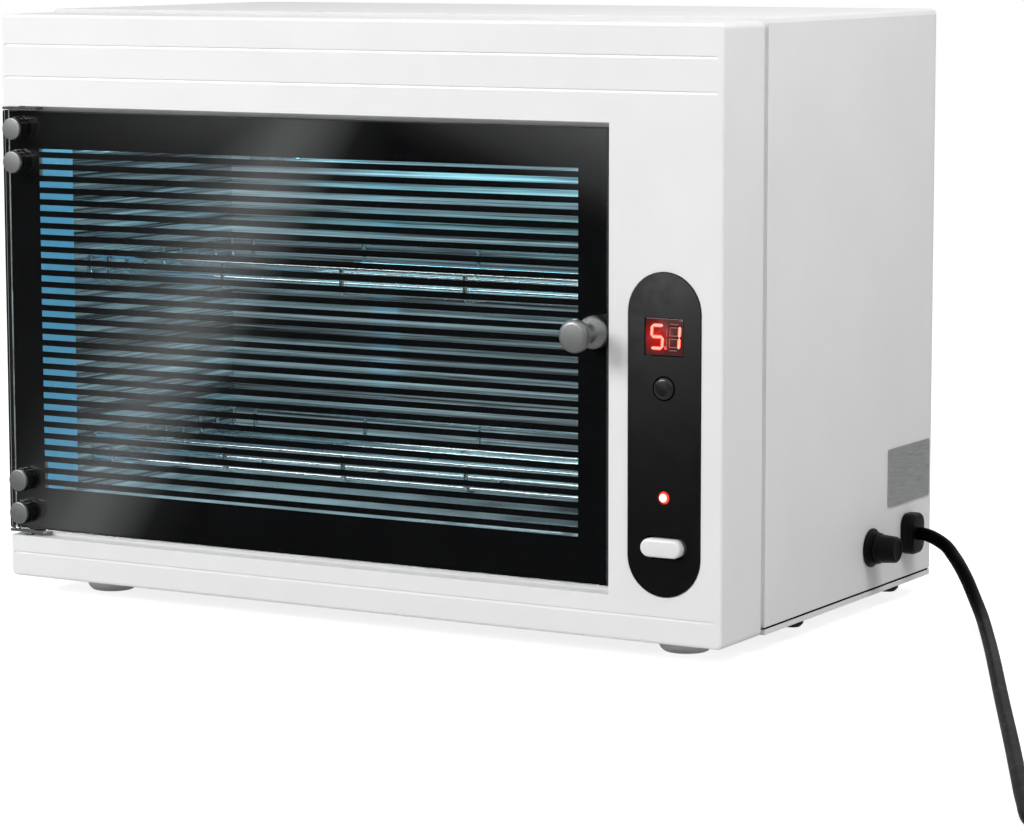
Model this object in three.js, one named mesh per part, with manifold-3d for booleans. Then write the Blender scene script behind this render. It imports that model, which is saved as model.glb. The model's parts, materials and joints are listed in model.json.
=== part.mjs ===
// Ultraviolet disinfection cabinet: a moulded bezel and shell round a mirror-lined chamber, a striped
// glass door on pivot hinges, two wire trays, a lamp, a control panel and a mains lead.
// Lengths are in millimetres. Pieces are placed from the bezel's lower left front corner:
// x to the right, y to the back, z up. The last lines stand the cabinet on its feet over the origin.

import * as THREE from 'three';
import { mergeVertices } from 'three/addons/utils/BufferGeometryUtils.js';
import Module from 'manifold-3d';

const wasm = await Module();
wasm.setup();

// Driving sizes of the cabinet
const cabinetWidth = 371;
const cabinetDepth = 217;
const cabinetHeight = 260;
const clearance = 0.3;
const overrun = 2;

// Share of a screw head's radius where its rim is chamfered
const chamferShare = 0.7;

// Round sections, in facets
const fineSides = 32;
const roundSides = 24;
const smallSides = 12;
const cornerSteps = 2;
const capSteps = 5;
const halfTurn = Math.PI;
const fullTurn = 2 * Math.PI;

// Bezel
const bezelDepth = 36;
const bezelFrontWall = 3.5;
const bezelSideWall = 4;
const bezelCornerRadius = 2.5;
const bezelEdgeBevel = 1.2;
const openingWall = 3;
const openingRadius = 4;
const webWall = 3;
const tongueWall = 2.4;
const tongueReach = 10;
const tongueRoot = 6;
const grooveWidth = 1.4;
const grooveDepth = 1;
const grooveLeftInset = 2;
const grooveRightInset = 3.5;
const firstGrooveDrop = 14.2;
const secondGrooveDrop = 28.8;
const lowerGrooveRise = 10.8;

// Door recess and chamber opening in the bezel
const controlBand = 54;
const recessTopBand = 41.7;
const recessFoot = 19;
const recessDepth = 8;
const rimLeft = 12;
const rimRight = 14;
const rimTop = 12.3;
const rimFoot = 15;

// Door glass
const glassThickness = 4;
const glassSetback = 1.6;
const glassRightGap = 1.3;
const glassTopGap = 2.1;
const glassFootGap = 2.9;
const glassOverhang = 1.8;

// Door hinges
const pivotInset = 7.5;
const pivotDepth = 5;
const pivotDiameter = 3;
const pivotReach = 6.4;
const pivotPlay = 0.25;
const bushingWall = 1.1;
const bushingLength = 7;
const clampWidth = 19.3;
const clampLeafWidth = 17.3;
const clampHeight = 30;
const clampLeaf = 1.5;
const clampPlate = 1.2;
const clampEdgeInset = 0.4;
const hingeScrewInset = 7.5;
const hingeScrewDrop = 8.3;
const hingeScrewSpacing = 15.2;
const hingeScrewShank = 4;
const hingeScrewHead = 10;
const hingeScrewHeadDepth = 2.2;
const hingeScrewTail = 1.6;
const hingeWasherDiameter = 11;
const hingeWasherDepth = 2.8;
const washerRidges = 14;
const washerRidgeDepth = 0.5;

// Door knob, its screw and the magnet that holds the door
const knobHeight = 130;
const knobInset = 6.4;
const knobFlange = 14;
const knobFlangeDepth = 2.4;
const knobNeck = 7.6;
const knobHead = 14.4;
const knobHeadDepth = 7;
const knobReach = 20;
const knobBore = 4.6;
const knobBoreDepth = 9;
const knobDomeShare = 1 / 8;
const knobShoulderShare = 1 / 4;
const strikeDiameter = 12;
const strikeDepth = 1.2;
const strikeShank = 4;
const magnetDiameter = 10;
const magnetLength = 6;
const magnetGap = 0.5;
const magnetBossWall = 1.3;

// Outer shell and base plate
const shadowGap = 3.5;
const shellWall = 2;
const shellCornerRadius = 6;
const shellTopBevel = 2.5;
const shellRise = 1.6;
const baseThickness = 2.2;
const baseGap = 1;
const baseFlangeHeight = 8;
const baseFlangeWall = 1.6;
const ventWidth = 3;
const ventHeight = 34;
const ventPitch = 7;
const ventCount = 8;
const ventFoot = 150;
const ventInset = 12;

// Feet and base screws
const footDiameter = 24;
const footHeight = 8.5;
const footTaper = 2;
const footSideInset = 34;
const footFrontInset = 33;
const baseScrewHead = 10;
const baseScrewHeadDepth = 3.4;
const baseScrewShank = 3.6;
const baseScrewLength = 7;
const baseScrewSideInset = 7;
const baseScrewFront = 81;
const baseScrewBackInset = 36;

// Chamber lining
const liningSheet = 1;
const chamberBack = 168;
const flangeWidth = 7;
const ledgeReach = 7;
const ledgeInset = 6;

// Trays
const trayWire = 2.2;
const traySides = 6;
const traySideGap = 3;
const trayFrontInset = 8;
const trayBackInset = 6;
const trayWallHeight = 14;
const upperTrayHeight = 134;
const lowerTrayHeight = 49;
const trayRibs = 9;
const trayRunners = 5;
const runnerEndInset = 12;
const weldSink = 0.66;

// Lamp, its caps and sockets
const lampDiameter = 15.2;
const lampCapDiameter = 16.8;
const lampCapLength = 10;
const lampDrop = 10.5;
const lampRearGap = 14;
const lampDepth = chamberBack - lampRearGap;
const pinDiameter = 2.4;
const pinLength = 7.1;
const pinSpacing = 4.75;
const socketInset = 27.2;
const socketWidth = 12;
const socketDepth = 20;
const socketDrop = 11;
const socketRound = 5;
const socketBore = 9.4;

// Ballast
const ballastWidth = 34;
const ballastLength = 66;
const ballastHeight = 26;
const ballastTab = 9;
const ballastTabThickness = 2;
const ballastFront = 54;
const ballastSideGap = 14;

// Control panel and what shows through it
const panelWidth = 34;
const panelHeight = 136.6;
const panelFoot = 20.3;
const panelRightInset = 10.6;
const panelThickness = 2.3;
const panelProud = 0.5;
const panelLedge = 3;
const displayWidth = 18.4;
const displayHeight = 16;
const displayCentre = 130;
const displayBezel = 0.4;
const setButtonDiameter = 10;
const setButtonHeight = 108.4;
const setButtonProud = 1.4;
const setButtonLip = 1.2;
const lightDiameter = 5;
const lightHeight = 62.4;
const lightProud = 1;
const lightFlange = 0.8;
const lightBody = 7;
const lightLeg = 0.8;
const powerWidth = 20;
const powerHeight = 9;
const powerCentre = 41.3;
const powerProud = 3.4;
const powerRound = 1.5;
const powerDepth = 6;
const powerTravel = 2;
const powerLip = 1.2;
const setTravel = 0.6;
const switchWall = 1.5;
const switchDepth = 17;
const boardDepth = 15;
const boardThickness = 1.6;
const boardWidth = 28;
const boardRise = 33.7;
const boardFoot = panelFoot + boardRise;
const boardTopGap = 10.9;
const boardTop = panelFoot + panelHeight - boardTopGap;
const postDiameter = 4;
const postInset = 4.5;
const tactWidth = 6;
const chipWidth = 9;
const chipHeight = 14;
const chipDepth = 2.5;
const chipCentre = 84;

// Fuse holder and rating plate
const fuseRearInset = 70;
const fuseBack = cabinetDepth - fuseRearInset;
const fuseHeight = 22;
const fuseFlange = 17.6;
const fuseFlangeDepth = 1.6;
const fuseBody = 12.6;
const fuseBodyLength = 32;
const fuseBore = 8.6;
const fuseCollar = 14.6;
const fuseNut = 17;
const fuseNutDepth = 4;
const fuseCapBase = 14;
const fuseCapTip = 11.4;
const fuseCapLength = 9.6;
const fuseCapCollar = 1.6;
const fuseStem = 7.6;
const fuseStemLength = 5;
const fuseLinkDiameter = 5;
const fuseLinkLength = 20;
const plateWidth = 45;
const plateHeight = 26.4;
const plateThickness = 0.5;
const plateBack = 187;
const plateCentre = 51;
const plateCorner = 1;

// Strain relief and mains lead
const gripStep = 39;
const gripBack = fuseBack + gripStep;
const gripHeight = 23.3;
const gripWidth = 14.5;
const gripTall = 18.8;
const gripReach = 6.3;
const gripRound = 1.3;
const gripCorner = 5.1;
const gripNeckCorner = 2.8;
const gripNeck = 11;
const gripNeckLength = 14;
const cordDiameter = 6;
const cordSides = 8;
const cordStep = 15;
const cordLength = 1500;
const floorLift = 0.1;

// Coil of the part of the lead that isn't laid out
const coilMiddleRadius = 33;
const coilPitch = 6.9;
const coilRise = 6.9;
const coilSteps = 24;
const coilSides = 6;
const coilInTurns = 2;
const coilOutTurns = 1.75;
const tieWidth = 6;
const tieThickness = 0.8;
const tieGap = 0.5;
const tieStep = 7;
const tailTurn = Math.PI / 3;

// Plug with two round pins
const plugLength = 34;
const plugWidth = 35;
const plugDepth = 13.7;
const plugNoseRadius = 6;
const plugRound = 1.7;
const plugNeckWidth = 12;
const plugNeckLength = 10;
const plugPinDiameter = 4;
const plugPinLength = 19;
const plugPinSpacing = 18.6;
const plugPinRoot = 4;

// Derived lines of the cabinet
const recessRight = cabinetWidth - controlBand;
const recessTop = cabinetHeight - recessTopBand;
const openingRight = recessRight - rimRight;
const openingTop = recessTop - rimTop;
const openingFoot = recessFoot + rimFoot;
const glassRight = recessRight - glassRightGap;
const glassTop = recessTop - glassTopGap;
const glassFoot = recessFoot + glassFootGap;
const glassBack = glassSetback + glassThickness;
const glassLeft = -glassOverhang;
const pivotSwing = Math.hypot(pivotInset - glassLeft, pivotDepth - glassSetback);
const pocketDepth = pivotDepth + pivotSwing + clearance;
const pocketRight = pivotInset + pivotSwing + clearance;
const shellFront = bezelDepth + shadowGap;
const shellTop = cabinetHeight + shellRise;
const panelLeft = cabinetWidth - panelRightInset - panelWidth;
const panelMiddle = panelLeft + panelWidth / 2;
const panelFront = -panelProud;
const panelBack = panelFront + panelThickness;
const liningFront = bezelDepth + clearance;
const footLevel = -footHeight;

// Solid helpers

// A closed geometry becomes a solid, with its faces turned outwards
function solidOf(geometry) {
  const bare = geometry.clone();
  bare.deleteAttribute('normal');
  bare.deleteAttribute('uv');
  const merged = mergeVertices(bare);
  const corners = merged.attributes.position;
  const source = merged.index.array;
  const faces = [];
  let volume = 0;
  const a = new THREE.Vector3();
  const b = new THREE.Vector3();
  const c = new THREE.Vector3();
  for (let i = 0; i < source.length; i += 3) {
    const [p, q, r] = [source[i], source[i + 1], source[i + 2]];
    if (p === q || q === r || r === p) continue;
    a.fromBufferAttribute(corners, p);
    b.fromBufferAttribute(corners, q);
    c.fromBufferAttribute(corners, r);
    volume += a.dot(b.cross(c));
    faces.push(p, q, r);
  }
  if (volume < 0) faces.reverse();
  const vertProperties = Float32Array.from(corners.array);
  const triVerts = Uint32Array.from(faces);
  return new wasm.Manifold(new wasm.Mesh({ numProp: 3, vertProperties, triVerts }));
}

function geometryOf(solid) {
  const mesh = solid.getMesh();
  const geometry = new THREE.BufferGeometry();
  geometry.setAttribute('position', new THREE.BufferAttribute(mesh.vertProperties, mesh.numProp));
  geometry.setIndex(new THREE.BufferAttribute(mesh.triVerts, 1));
  geometry.computeVertexNormals();
  return geometry;
}

function united(solids) {
  return solids.reduce((whole, next) => whole.add(next));
}

// A stretch that sets out from an edge, upwards along its axis if the way is 1 and downwards if it is -1
function stretch(edge, way, from, to) {
  const ends = [edge + way * from, edge + way * to];
  return [Math.min(...ends), Math.max(...ends)];
}

function block([x0, x1], [y0, y1], [z0, z1]) {
  const box = new THREE.BoxGeometry(x1 - x0, y1 - y0, z1 - z0);
  box.translate((x0 + x1) / 2, (y0 + y1) / 2, (z0 + z1) / 2);
  return solidOf(box);
}

// An outline with round corners, drawn counter-clockwise
function roundedOutline([left, right], [low, high], radius) {
  const outline = new THREE.Shape();
  const quarter = halfTurn / 2;
  outline.absarc(right - radius, low + radius, radius, -quarter, 0);
  outline.absarc(right - radius, high - radius, radius, 0, quarter);
  outline.absarc(left + radius, high - radius, radius, quarter, halfTurn);
  outline.absarc(left + radius, low + radius, radius, halfTurn, halfTurn + quarter);
  outline.closePath();
  return outline;
}

// An outline becomes a straight prism along z, and its two rims can be bevelled
function extruded(outline, length, { bevel = 0, steps = cornerSteps } = {}) {
  const geometry = new THREE.ExtrudeGeometry(outline, {
    depth: length - 2 * bevel,
    bevelEnabled: bevel > 0,
    bevelThickness: bevel,
    bevelSize: bevel,
    bevelOffset: -bevel,
    bevelSegments: cornerSteps,
    curveSegments: steps,
  });
  return geometry.translate(0, 0, bevel);
}

// An outline in the front view (x, z) becomes a prism from front to back along y
function prismY(outline, [front, back], form) {
  const geometry = extruded(outline, back - front, form);
  return solidOf(geometry.rotateX(halfTurn / 2).translate(0, back, 0));
}

// An outline in the plan (x, y) becomes a prism along z
function prismZ(outline, [low, high], form) {
  return solidOf(extruded(outline, high - low, form).translate(0, 0, low));
}

// An outline in the side view (y, z) becomes a prism along x
function prismX(outline, [left, right], form) {
  const turn = new THREE.Matrix4().makeBasis(
    new THREE.Vector3(0, 1, 0),
    new THREE.Vector3(0, 0, 1),
    new THREE.Vector3(1, 0, 0),
  );
  const geometry = extruded(outline, right - left, form).applyMatrix4(turn);
  return solidOf(geometry.translate(left, 0, 0));
}

// A profile of [radius, place along the axis] pairs is turned round an axis through (u, v):
// (x, z) for the y axis, (y, z) for the x axis and (x, y) for the z axis
function turned(profile, axis, [u, v], sides = roundSides) {
  const points = profile.map(([radius, along]) => new THREE.Vector2(radius, along));
  const geometry = new THREE.LatheGeometry(points, sides);
  if (axis === 'x') geometry.rotateZ(-halfTurn / 2).translate(0, u, v);
  if (axis === 'y') geometry.translate(u, 0, v);
  if (axis === 'z') geometry.rotateX(halfTurn / 2).translate(u, v, 0);
  return solidOf(geometry);
}

function rod(diameter, [start, end], axis, centre, sides = roundSides) {
  const radius = diameter / 2;
  return turned([[0, start], [radius, start], [radius, end], [0, end]], axis, centre, sides);
}

function sleeve(outer, inner, [start, end], axis, centre, sides = roundSides) {
  const wide = outer / 2;
  const bore = inner / 2;
  const profile = [[bore, start], [wide, start], [wide, end], [bore, end], [bore, start]];
  return turned(profile, axis, centre, sides);
}

// A tube through a list of points, mitred where it bends
function tubeThrough(points, diameter, sides) {
  const ways = points.slice(1).map((point, i) => point.clone().sub(points[i]).normalize());
  const last = ways.length - 1;
  let spokes = firstSpokes(ways[0], diameter / 2, sides);
  const positions = [];
  points.forEach((point, i) => {
    const arriving = ways[Math.max(i - 1, 0)];
    const leaving = ways[Math.min(i, last)];
    const mitre = arriving.clone().add(leaving).normalize();
    spokes = spokes.map((spoke) => slidOnto(mitre, spoke, arriving));
    for (const spoke of spokes) positions.push(...point.clone().add(spoke));
    spokes = spokes.map((spoke) => slidOnto(leaving, spoke, leaving));
  });
  const geometry = new THREE.BufferGeometry();
  geometry.setAttribute('position', new THREE.Float32BufferAttribute(positions, 3));
  geometry.setIndex(tubeFaces(points.length, sides));
  return geometry;
}

// Spokes of the first ring, square to the way the tube sets out
function firstSpokes(way, radius, sides) {
  const steep = Math.abs(way.z) > Math.SQRT1_2;
  const up = steep ? new THREE.Vector3(0, 1, 0) : new THREE.Vector3(0, 0, 1);
  const side = way.clone().cross(up).normalize().multiplyScalar(radius);
  const spokes = [];
  for (let k = 0; k < sides; k++) {
    const angle = fullTurn * (k + 1 / 2) / sides;
    spokes.push(side.clone().applyAxisAngle(way, angle));
  }
  return spokes;
}

// A spoke slides along its way until it lies in the plane square to the normal
function slidOnto(normal, spoke, way) {
  return spoke.clone().addScaledVector(way, -spoke.dot(normal) / way.dot(normal));
}

function tubeFaces(rings, sides) {
  const faces = [];
  for (let i = 0; i + 1 < rings; i++) {
    for (let k = 0; k < sides; k++) {
      const [a, b] = [i * sides + k, i * sides + (k + 1) % sides];
      faces.push(a, b, b + sides, a, b + sides, a + sides);
    }
  }
  const last = (rings - 1) * sides;
  for (let k = 1; k + 1 < sides; k++) {
    faces.push(0, k + 1, k);
    faces.push(last, last + k, last + k + 1);
  }
  return faces;
}

// The group holds one mesh for each piece
const cabinet = new THREE.Group();

function addPiece(name, solid, finish) {
  const mesh = new THREE.Mesh(geometryOf(solid), new THREE.MeshStandardMaterial(finish));
  mesh.name = name;
  cabinet.add(mesh);
}

// Finishes
const whiteMoulding = { color: 0xe6e7e8, roughness: 0.35 };
const whitePaint = { color: 0xe6e7e8, roughness: 0.45 };
const whiteFitting = { color: 0xdcdcda, roughness: 0.5 };
const glossBlack = { color: 0x141414, roughness: 0.12 };
const satinBlack = { color: 0x1a1a1a, roughness: 0.4 };
const leadBlack = { color: 0x141414, roughness: 0.5 };
const rubberBlack = { color: 0x1a1a1a, roughness: 0.7 };
const rubberGrey = { color: 0xb5b5b5, roughness: 0.7 };
const nylonGrey = { color: 0xb5b5b5, roughness: 0.6 };
const brightSteel = { color: 0xb9bcc0, roughness: 0.2, metalness: 1 };
const turnedSteel = { color: 0xb9bcc0, roughness: 0.3, metalness: 1 };
const coatedSteel = { color: 0x8d9093, roughness: 0.5 };
const mirrorSheet = { color: 0xd5dadd, roughness: 0.12, metalness: 1 };
const magnetPlating = { color: 0xd5dadd, roughness: 0.4, metalness: 1 };
const silverFoil = { color: 0xb9bcc0, roughness: 0.35, metalness: 1 };
const pinBrass = { color: 0xb89b52, roughness: 0.3, metalness: 1 };
const doorTint = { color: 0x3a4145, roughness: 0.05 };
const lampQuartz = { color: 0xdfeaf5, roughness: 0.1 };
const fuseGlass = { color: 0xd5dadd, roughness: 0.2 };
const boardGreen = { color: 0x1f5a34, roughness: 0.5 };
const lensRed = { color: 0xc01818, roughness: 0.2 };

// Bezel: a hollow moulding with the door recess, the chamber opening and the panel's seat
function bezel() {
  const whole = roundedOutline([0, cabinetWidth], [0, cabinetHeight], bezelCornerRadius);
  const body = prismY(whole, [0, bezelDepth + overrun], { bevel: bezelEdgeBevel })
    .subtract(block([-overrun, cabinetWidth + overrun], [bezelDepth, bezelDepth + 2 * overrun],
      [-overrun, cabinetHeight + overrun]));
  const solid = body
    .subtract(bezelHollow())
    .subtract(doorRecess())
    .add(tongue())
    .subtract(chamberOpening())
    .add(magnetBoss())
    .subtract(magnetPocket())
    .subtract(bushingPockets())
    .subtract(grooves())
    .subtract(panelSeat());
  addPiece('front_bezel', solid, whiteMoulding);
}

// The space behind the bezel's face, round the chamber opening
function bezelHollow() {
  const left = bezelSideWall;
  const right = cabinetWidth - bezelSideWall;
  const low = bezelSideWall;
  const high = cabinetHeight - bezelSideWall;
  const back = bezelDepth + overrun;
  const behindRecess = recessDepth + bezelFrontWall;
  const behindPocket = pocketDepth + bezelFrontWall;
  const ring = block([left, right], [behindRecess, back], [low, high])
    .subtract(block([rimLeft - openingWall, openingRight + openingWall], [0, back + overrun],
      [openingFoot - openingWall, openingTop + openingWall]))
    .subtract(block([0, pocketRight + webWall], [0, behindPocket], [0, recessTop + webWall]));
  const above = block([left, right], [bezelFrontWall, back], [recessTop + webWall, high])
    .subtract(block([0, pocketRight + webWall], [0, behindPocket], [0, bushingTop() + webWall]));
  const beside = block([recessRight + webWall, right], [bezelFrontWall, back], [low, high]);
  return ring.add(above).add(beside);
}

function bushingTop() {
  return recessTop + clearance + bushingLength;
}

function doorRecess() {
  const main = block([-overrun, recessRight], [-overrun, recessDepth], [recessFoot, recessTop]);
  const pocket = block([-overrun, pocketRight], [-overrun, pocketDepth], [recessFoot, recessTop]);
  return main.add(pocket);
}

function chamberOpening() {
  const outline = roundedOutline([rimLeft, openingRight], [openingFoot, openingTop], openingRadius);
  return prismY(outline, [-overrun, bezelDepth + tongueReach + overrun]);
}

// A rim behind the bezel that the shell slides over
function tongue() {
  const inset = shellWall + clearance;
  const span = [bezelDepth - tongueRoot, bezelDepth + tongueReach];
  const outline = roundedOutline([inset, cabinetWidth - inset],
    [inset + baseThickness, cabinetHeight - inset], shellTopBevel);
  const outer = prismY(outline, span);
  const wall = inset + tongueWall;
  const inner = block([wall, cabinetWidth - wall], [0, bezelDepth + tongueReach + overrun],
    [wall + baseThickness, cabinetHeight - wall]);
  const lowBridge = block([inset, cabinetWidth - inset], [bezelDepth - tongueRoot, bezelDepth],
    [inset, wall + baseThickness]);
  return outer.subtract(inner).add(lowBridge);
}

function knobPlace() {
  return [glassRight - knobInset, knobHeight];
}

function magnetFront() {
  return recessDepth - magnetGap;
}

function magnetBoss() {
  const width = magnetDiameter + 2 * magnetBossWall;
  const back = magnetFront() + magnetLength + clearance + magnetBossWall;
  return rod(width, [recessDepth, back], 'y', knobPlace());
}

function magnetPocket() {
  const width = magnetDiameter + 2 * clearance;
  return rod(width, [0, magnetFront() + magnetLength + clearance], 'y', knobPlace());
}

function bushingDiameter() {
  return pivotDiameter + 2 * pivotPlay + 2 * bushingWall;
}

function bushingPockets() {
  const width = bushingDiameter() + 2 * clearance;
  const place = [pivotInset, pivotDepth];
  const upper = rod(width, [recessTop - overrun, bushingTop()], 'z', place);
  const lower = rod(width, [recessFoot - clearance - bushingLength, recessFoot + overrun], 'z', place);
  return upper.add(lower);
}

function grooves() {
  const heights = [cabinetHeight - firstGrooveDrop, cabinetHeight - secondGrooveDrop, lowerGrooveRise];
  const right = cabinetWidth - grooveRightInset;
  return united(heights.map((height) => prismY(
    roundedOutline([grooveLeftInset, right], [height - grooveWidth / 2, height + grooveWidth / 2],
      grooveWidth / 2),
    [-overrun, grooveDepth],
    { steps: 1 },
  )));
}

function panelOutline(grow) {
  const width = [panelLeft - grow, panelLeft + panelWidth + grow];
  const height = [panelFoot - grow, panelFoot + panelHeight + grow];
  return roundedOutline(width, height, panelWidth / 2 + grow);
}

// The panel lies in a shallow seat, with a window behind it for what it carries
function panelSeat() {
  const seat = prismY(panelOutline(clearance), [-overrun, panelBack + clearance], { steps: capSteps });
  const window = prismY(panelOutline(-panelLedge), [-overrun, bezelFrontWall + overrun], { steps: capSteps });
  return seat.add(window);
}

// Shell: one wrap with round rear corners, open in front and below
function outerShell() {
  const lead = 2 * shellCornerRadius;
  const plan = roundedOutline([0, cabinetWidth], [shellFront - lead, cabinetDepth], shellCornerRadius);
  const inner = roundedOutline([shellWall, cabinetWidth - shellWall],
    [shellFront - lead, cabinetDepth - shellWall], shellCornerRadius - shellWall);
  const low = baseThickness + baseGap;
  const front = block([-overrun, cabinetWidth + overrun], [shellFront - lead - overrun, shellFront],
    [low - lead, shellTop + overrun]);
  const below = block([-overrun, cabinetWidth + overrun], [0, cabinetDepth + overrun],
    [low - lead - overrun, low]);
  const solid = prismZ(plan, [low - lead, shellTop], { bevel: shellTopBevel })
    .subtract(prismZ(inner, [low - lead - overrun, shellTop - shellWall], { bevel: shellWall }))
    .subtract(front)
    .subtract(below)
    .subtract(vents())
    .subtract(fuseHole())
    .subtract(gripHole());
  addPiece('outer_shell', solid, whitePaint);
}

function vents() {
  const right = cabinetWidth - ventInset;
  const slots = [];
  for (let i = 0; i < ventCount; i++) {
    const x = right - i * ventPitch;
    slots.push(prismY(
      roundedOutline([x - ventWidth, x], [ventFoot, ventFoot + ventHeight], ventWidth / 2),
      [cabinetDepth - shellWall - overrun, cabinetDepth + overrun],
      { steps: 1 },
    ));
  }
  return united(slots);
}

function fuseHole() {
  const width = fuseBody + 2 * clearance;
  const through = [cabinetWidth - shellWall - overrun, cabinetWidth + overrun];
  return rod(width, through, 'x', [fuseBack, fuseHeight]);
}

function gripNeckOutline(grow) {
  const half = gripNeck / 2 + grow;
  const tall = gripTall / 2 - (gripWidth - gripNeck) / 2 + grow;
  return roundedOutline([gripBack - half, gripBack + half], [gripHeight - tall, gripHeight + tall],
    gripNeckCorner + grow);
}

function gripHole() {
  return prismX(gripNeckOutline(clearance), [cabinetWidth - shellWall - overrun, cabinetWidth + overrun]);
}

// Base plate: a lip level with the bezel, and a flange that stands inside the shell
function basePlate() {
  const lead = 2 * shellCornerRadius;
  const plan = roundedOutline([0, cabinetWidth], [shellFront - lead, cabinetDepth], shellCornerRadius);
  const inset = shellWall + clearance;
  const flangeTop = baseThickness + baseFlangeHeight;
  const outer = roundedOutline([inset, cabinetWidth - inset], [shellFront - lead, cabinetDepth - inset],
    shellCornerRadius - shellWall);
  const wall = inset + baseFlangeWall;
  const inner = roundedOutline([wall, cabinetWidth - wall], [shellFront - 2 * lead, cabinetDepth - wall],
    shellCornerRadius - shellWall);
  const tongueEnd = bezelDepth + tongueReach + clearance;
  const flange = prismZ(outer, [0, flangeTop])
    .subtract(prismZ(inner, [-overrun, flangeTop + overrun]))
    .subtract(block([-overrun, cabinetWidth + overrun], [0, tongueEnd], [-overrun, flangeTop + overrun]));
  const front = block([-overrun, cabinetWidth + overrun], [0, shellFront], [-overrun, flangeTop + overrun]);
  let solid = prismZ(plan, [0, baseThickness]).subtract(front).add(flange);
  const hole = baseScrewShank + 2 * clearance;
  for (const place of baseScrewPlaces()) {
    solid = solid.subtract(rod(hole, [-overrun, flangeTop], 'z', place, smallSides));
  }
  addPiece('base_plate', solid, whitePaint);
}

function baseScrewPlaces() {
  const places = [];
  for (const x of [baseScrewSideInset, cabinetWidth - baseScrewSideInset]) {
    for (const y of [baseScrewFront, cabinetDepth - baseScrewBackInset]) places.push([x, y]);
  }
  return places;
}

function baseScrews() {
  baseScrewPlaces().forEach((place, i) => {
    const head = baseScrewHead / 2;
    const shank = baseScrewShank / 2;
    const top = -clearance;
    const low = top - baseScrewHeadDepth;
    const profile = [
      [0, low],
      [head * chamferShare, low],
      [head, (low + top) / 2],
      [head, top],
      [shank, top],
      [shank, baseScrewLength],
      [0, baseScrewLength],
    ];
    addPiece(`base_screw_${i + 1}`, turned(profile, 'z', place, smallSides), rubberBlack);
  });
}

function feet() {
  const rear = cabinetDepth - footFrontInset;
  let number = 1;
  for (const y of [footFrontInset, rear]) {
    for (const x of [footSideInset, cabinetWidth - footSideInset]) {
      const wide = footDiameter / 2;
      const profile = [
        [0, footLevel],
        [wide - footTaper, footLevel],
        [wide, footLevel + footTaper],
        [wide, -clearance],
        [0, -clearance],
      ];
      addPiece(`foot_${number}`, turned(profile, 'z', [x, y]), rubberGrey);
      number += 1;
    }
  }
}

// Chamber lining: five bright sheets, with ledges for the trays on the two sides
function chamber() {
  const inner = { left: rimLeft, right: openingRight, low: openingFoot, high: openingTop };
  const span = [liningFront, chamberBack + liningSheet];
  const tall = [inner.low - liningSheet, inner.high + liningSheet];
  const flangeSpan = [liningFront, liningFront + liningSheet];
  const ledgeSpan = [liningFront + ledgeInset, chamberBack - ledgeInset];
  const leftSheet = united([
    block([inner.left - liningSheet, inner.left], span, tall),
    block([inner.left - flangeWidth, inner.left], flangeSpan, tall),
    ...[upperTrayHeight, lowerTrayHeight].map((height) => block(
      [inner.left - liningSheet, inner.left + ledgeReach],
      ledgeSpan,
      ledgeHeights(height),
    )),
  ]);
  addPiece('chamber_left', leftSheet, mirrorSheet);
  const rightSheet = united([
    block([inner.right, inner.right + liningSheet], span, tall),
    block([inner.right, inner.right + flangeWidth], flangeSpan, tall),
    ...[upperTrayHeight, lowerTrayHeight].map((height) => block(
      [inner.right - ledgeReach, inner.right + liningSheet],
      ledgeSpan,
      ledgeHeights(height),
    )),
  ]);
  addPiece('chamber_right', rightSheet, mirrorSheet);
  const across = [inner.left + clearance, inner.right - clearance];
  const top = united([
    block(across, span, [inner.high, inner.high + liningSheet]),
    block(across, flangeSpan, [inner.high, inner.high + flangeWidth]),
  ]);
  addPiece('chamber_top', top, mirrorSheet);
  const floor = united([
    block(across, span, [inner.low - liningSheet, inner.low]),
    block(across, flangeSpan, [inner.low - flangeWidth, inner.low]),
  ]);
  addPiece('chamber_floor', floor, mirrorSheet);
  const back = block(across, [chamberBack, chamberBack + liningSheet],
    [inner.low + clearance, inner.high - clearance]);
  addPiece('chamber_back', back, mirrorSheet);
}

// A ledge lies just under the side wires of the tray that rests on it
function ledgeHeights(trayHeight) {
  const top = trayHeight - clearance;
  return [top - liningSheet, top];
}

// Tray: runners from front to back, ribs over them that turn up at the sides, and a rim
function tray(name, height) {
  const radius = trayWire / 2;
  const left = rimLeft + traySideGap + radius;
  const right = openingRight - traySideGap - radius;
  const front = liningFront + trayFrontInset;
  const back = chamberBack - trayBackInset;
  const runnerLevel = height + radius;
  const ribLevel = runnerLevel + trayWire - weldSink;
  const rimLevel = height + trayWallHeight - radius;
  const wires = [];
  const reach = (back - front) / (trayRibs - 1);
  for (let i = 0; i < trayRibs; i++) {
    const y = front + i * reach;
    wires.push(bentWire([
      [left, y, rimLevel],
      [left, y, ribLevel],
      [right, y, ribLevel],
      [right, y, rimLevel],
    ]));
  }
  const pitch = (right - left - 2 * runnerEndInset) / (trayRunners - 1);
  const ends = [front - trayWire - weldSink, back + trayWire - weldSink];
  for (let i = 0; i < trayRunners; i++) {
    const x = left + runnerEndInset + i * pitch;
    wires.push(bentWire([
      [x, ends[0], rimLevel],
      [x, ends[0], runnerLevel],
      [x, ends[1], runnerLevel],
      [x, ends[1], rimLevel],
    ]));
  }
  for (const x of [left, right]) wires.push(bentWire([[x, front, rimLevel], [x, back, rimLevel]]));
  for (const y of [front, back]) wires.push(bentWire([[left, y, rimLevel], [right, y, rimLevel]]));
  addPiece(name, united(wires), brightSteel);
}

function bentWire(corners) {
  const points = corners.map(([x, y, z]) => new THREE.Vector3(x, y, z));
  return solidOf(tubeThrough(points, trayWire, traySides));
}

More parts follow.
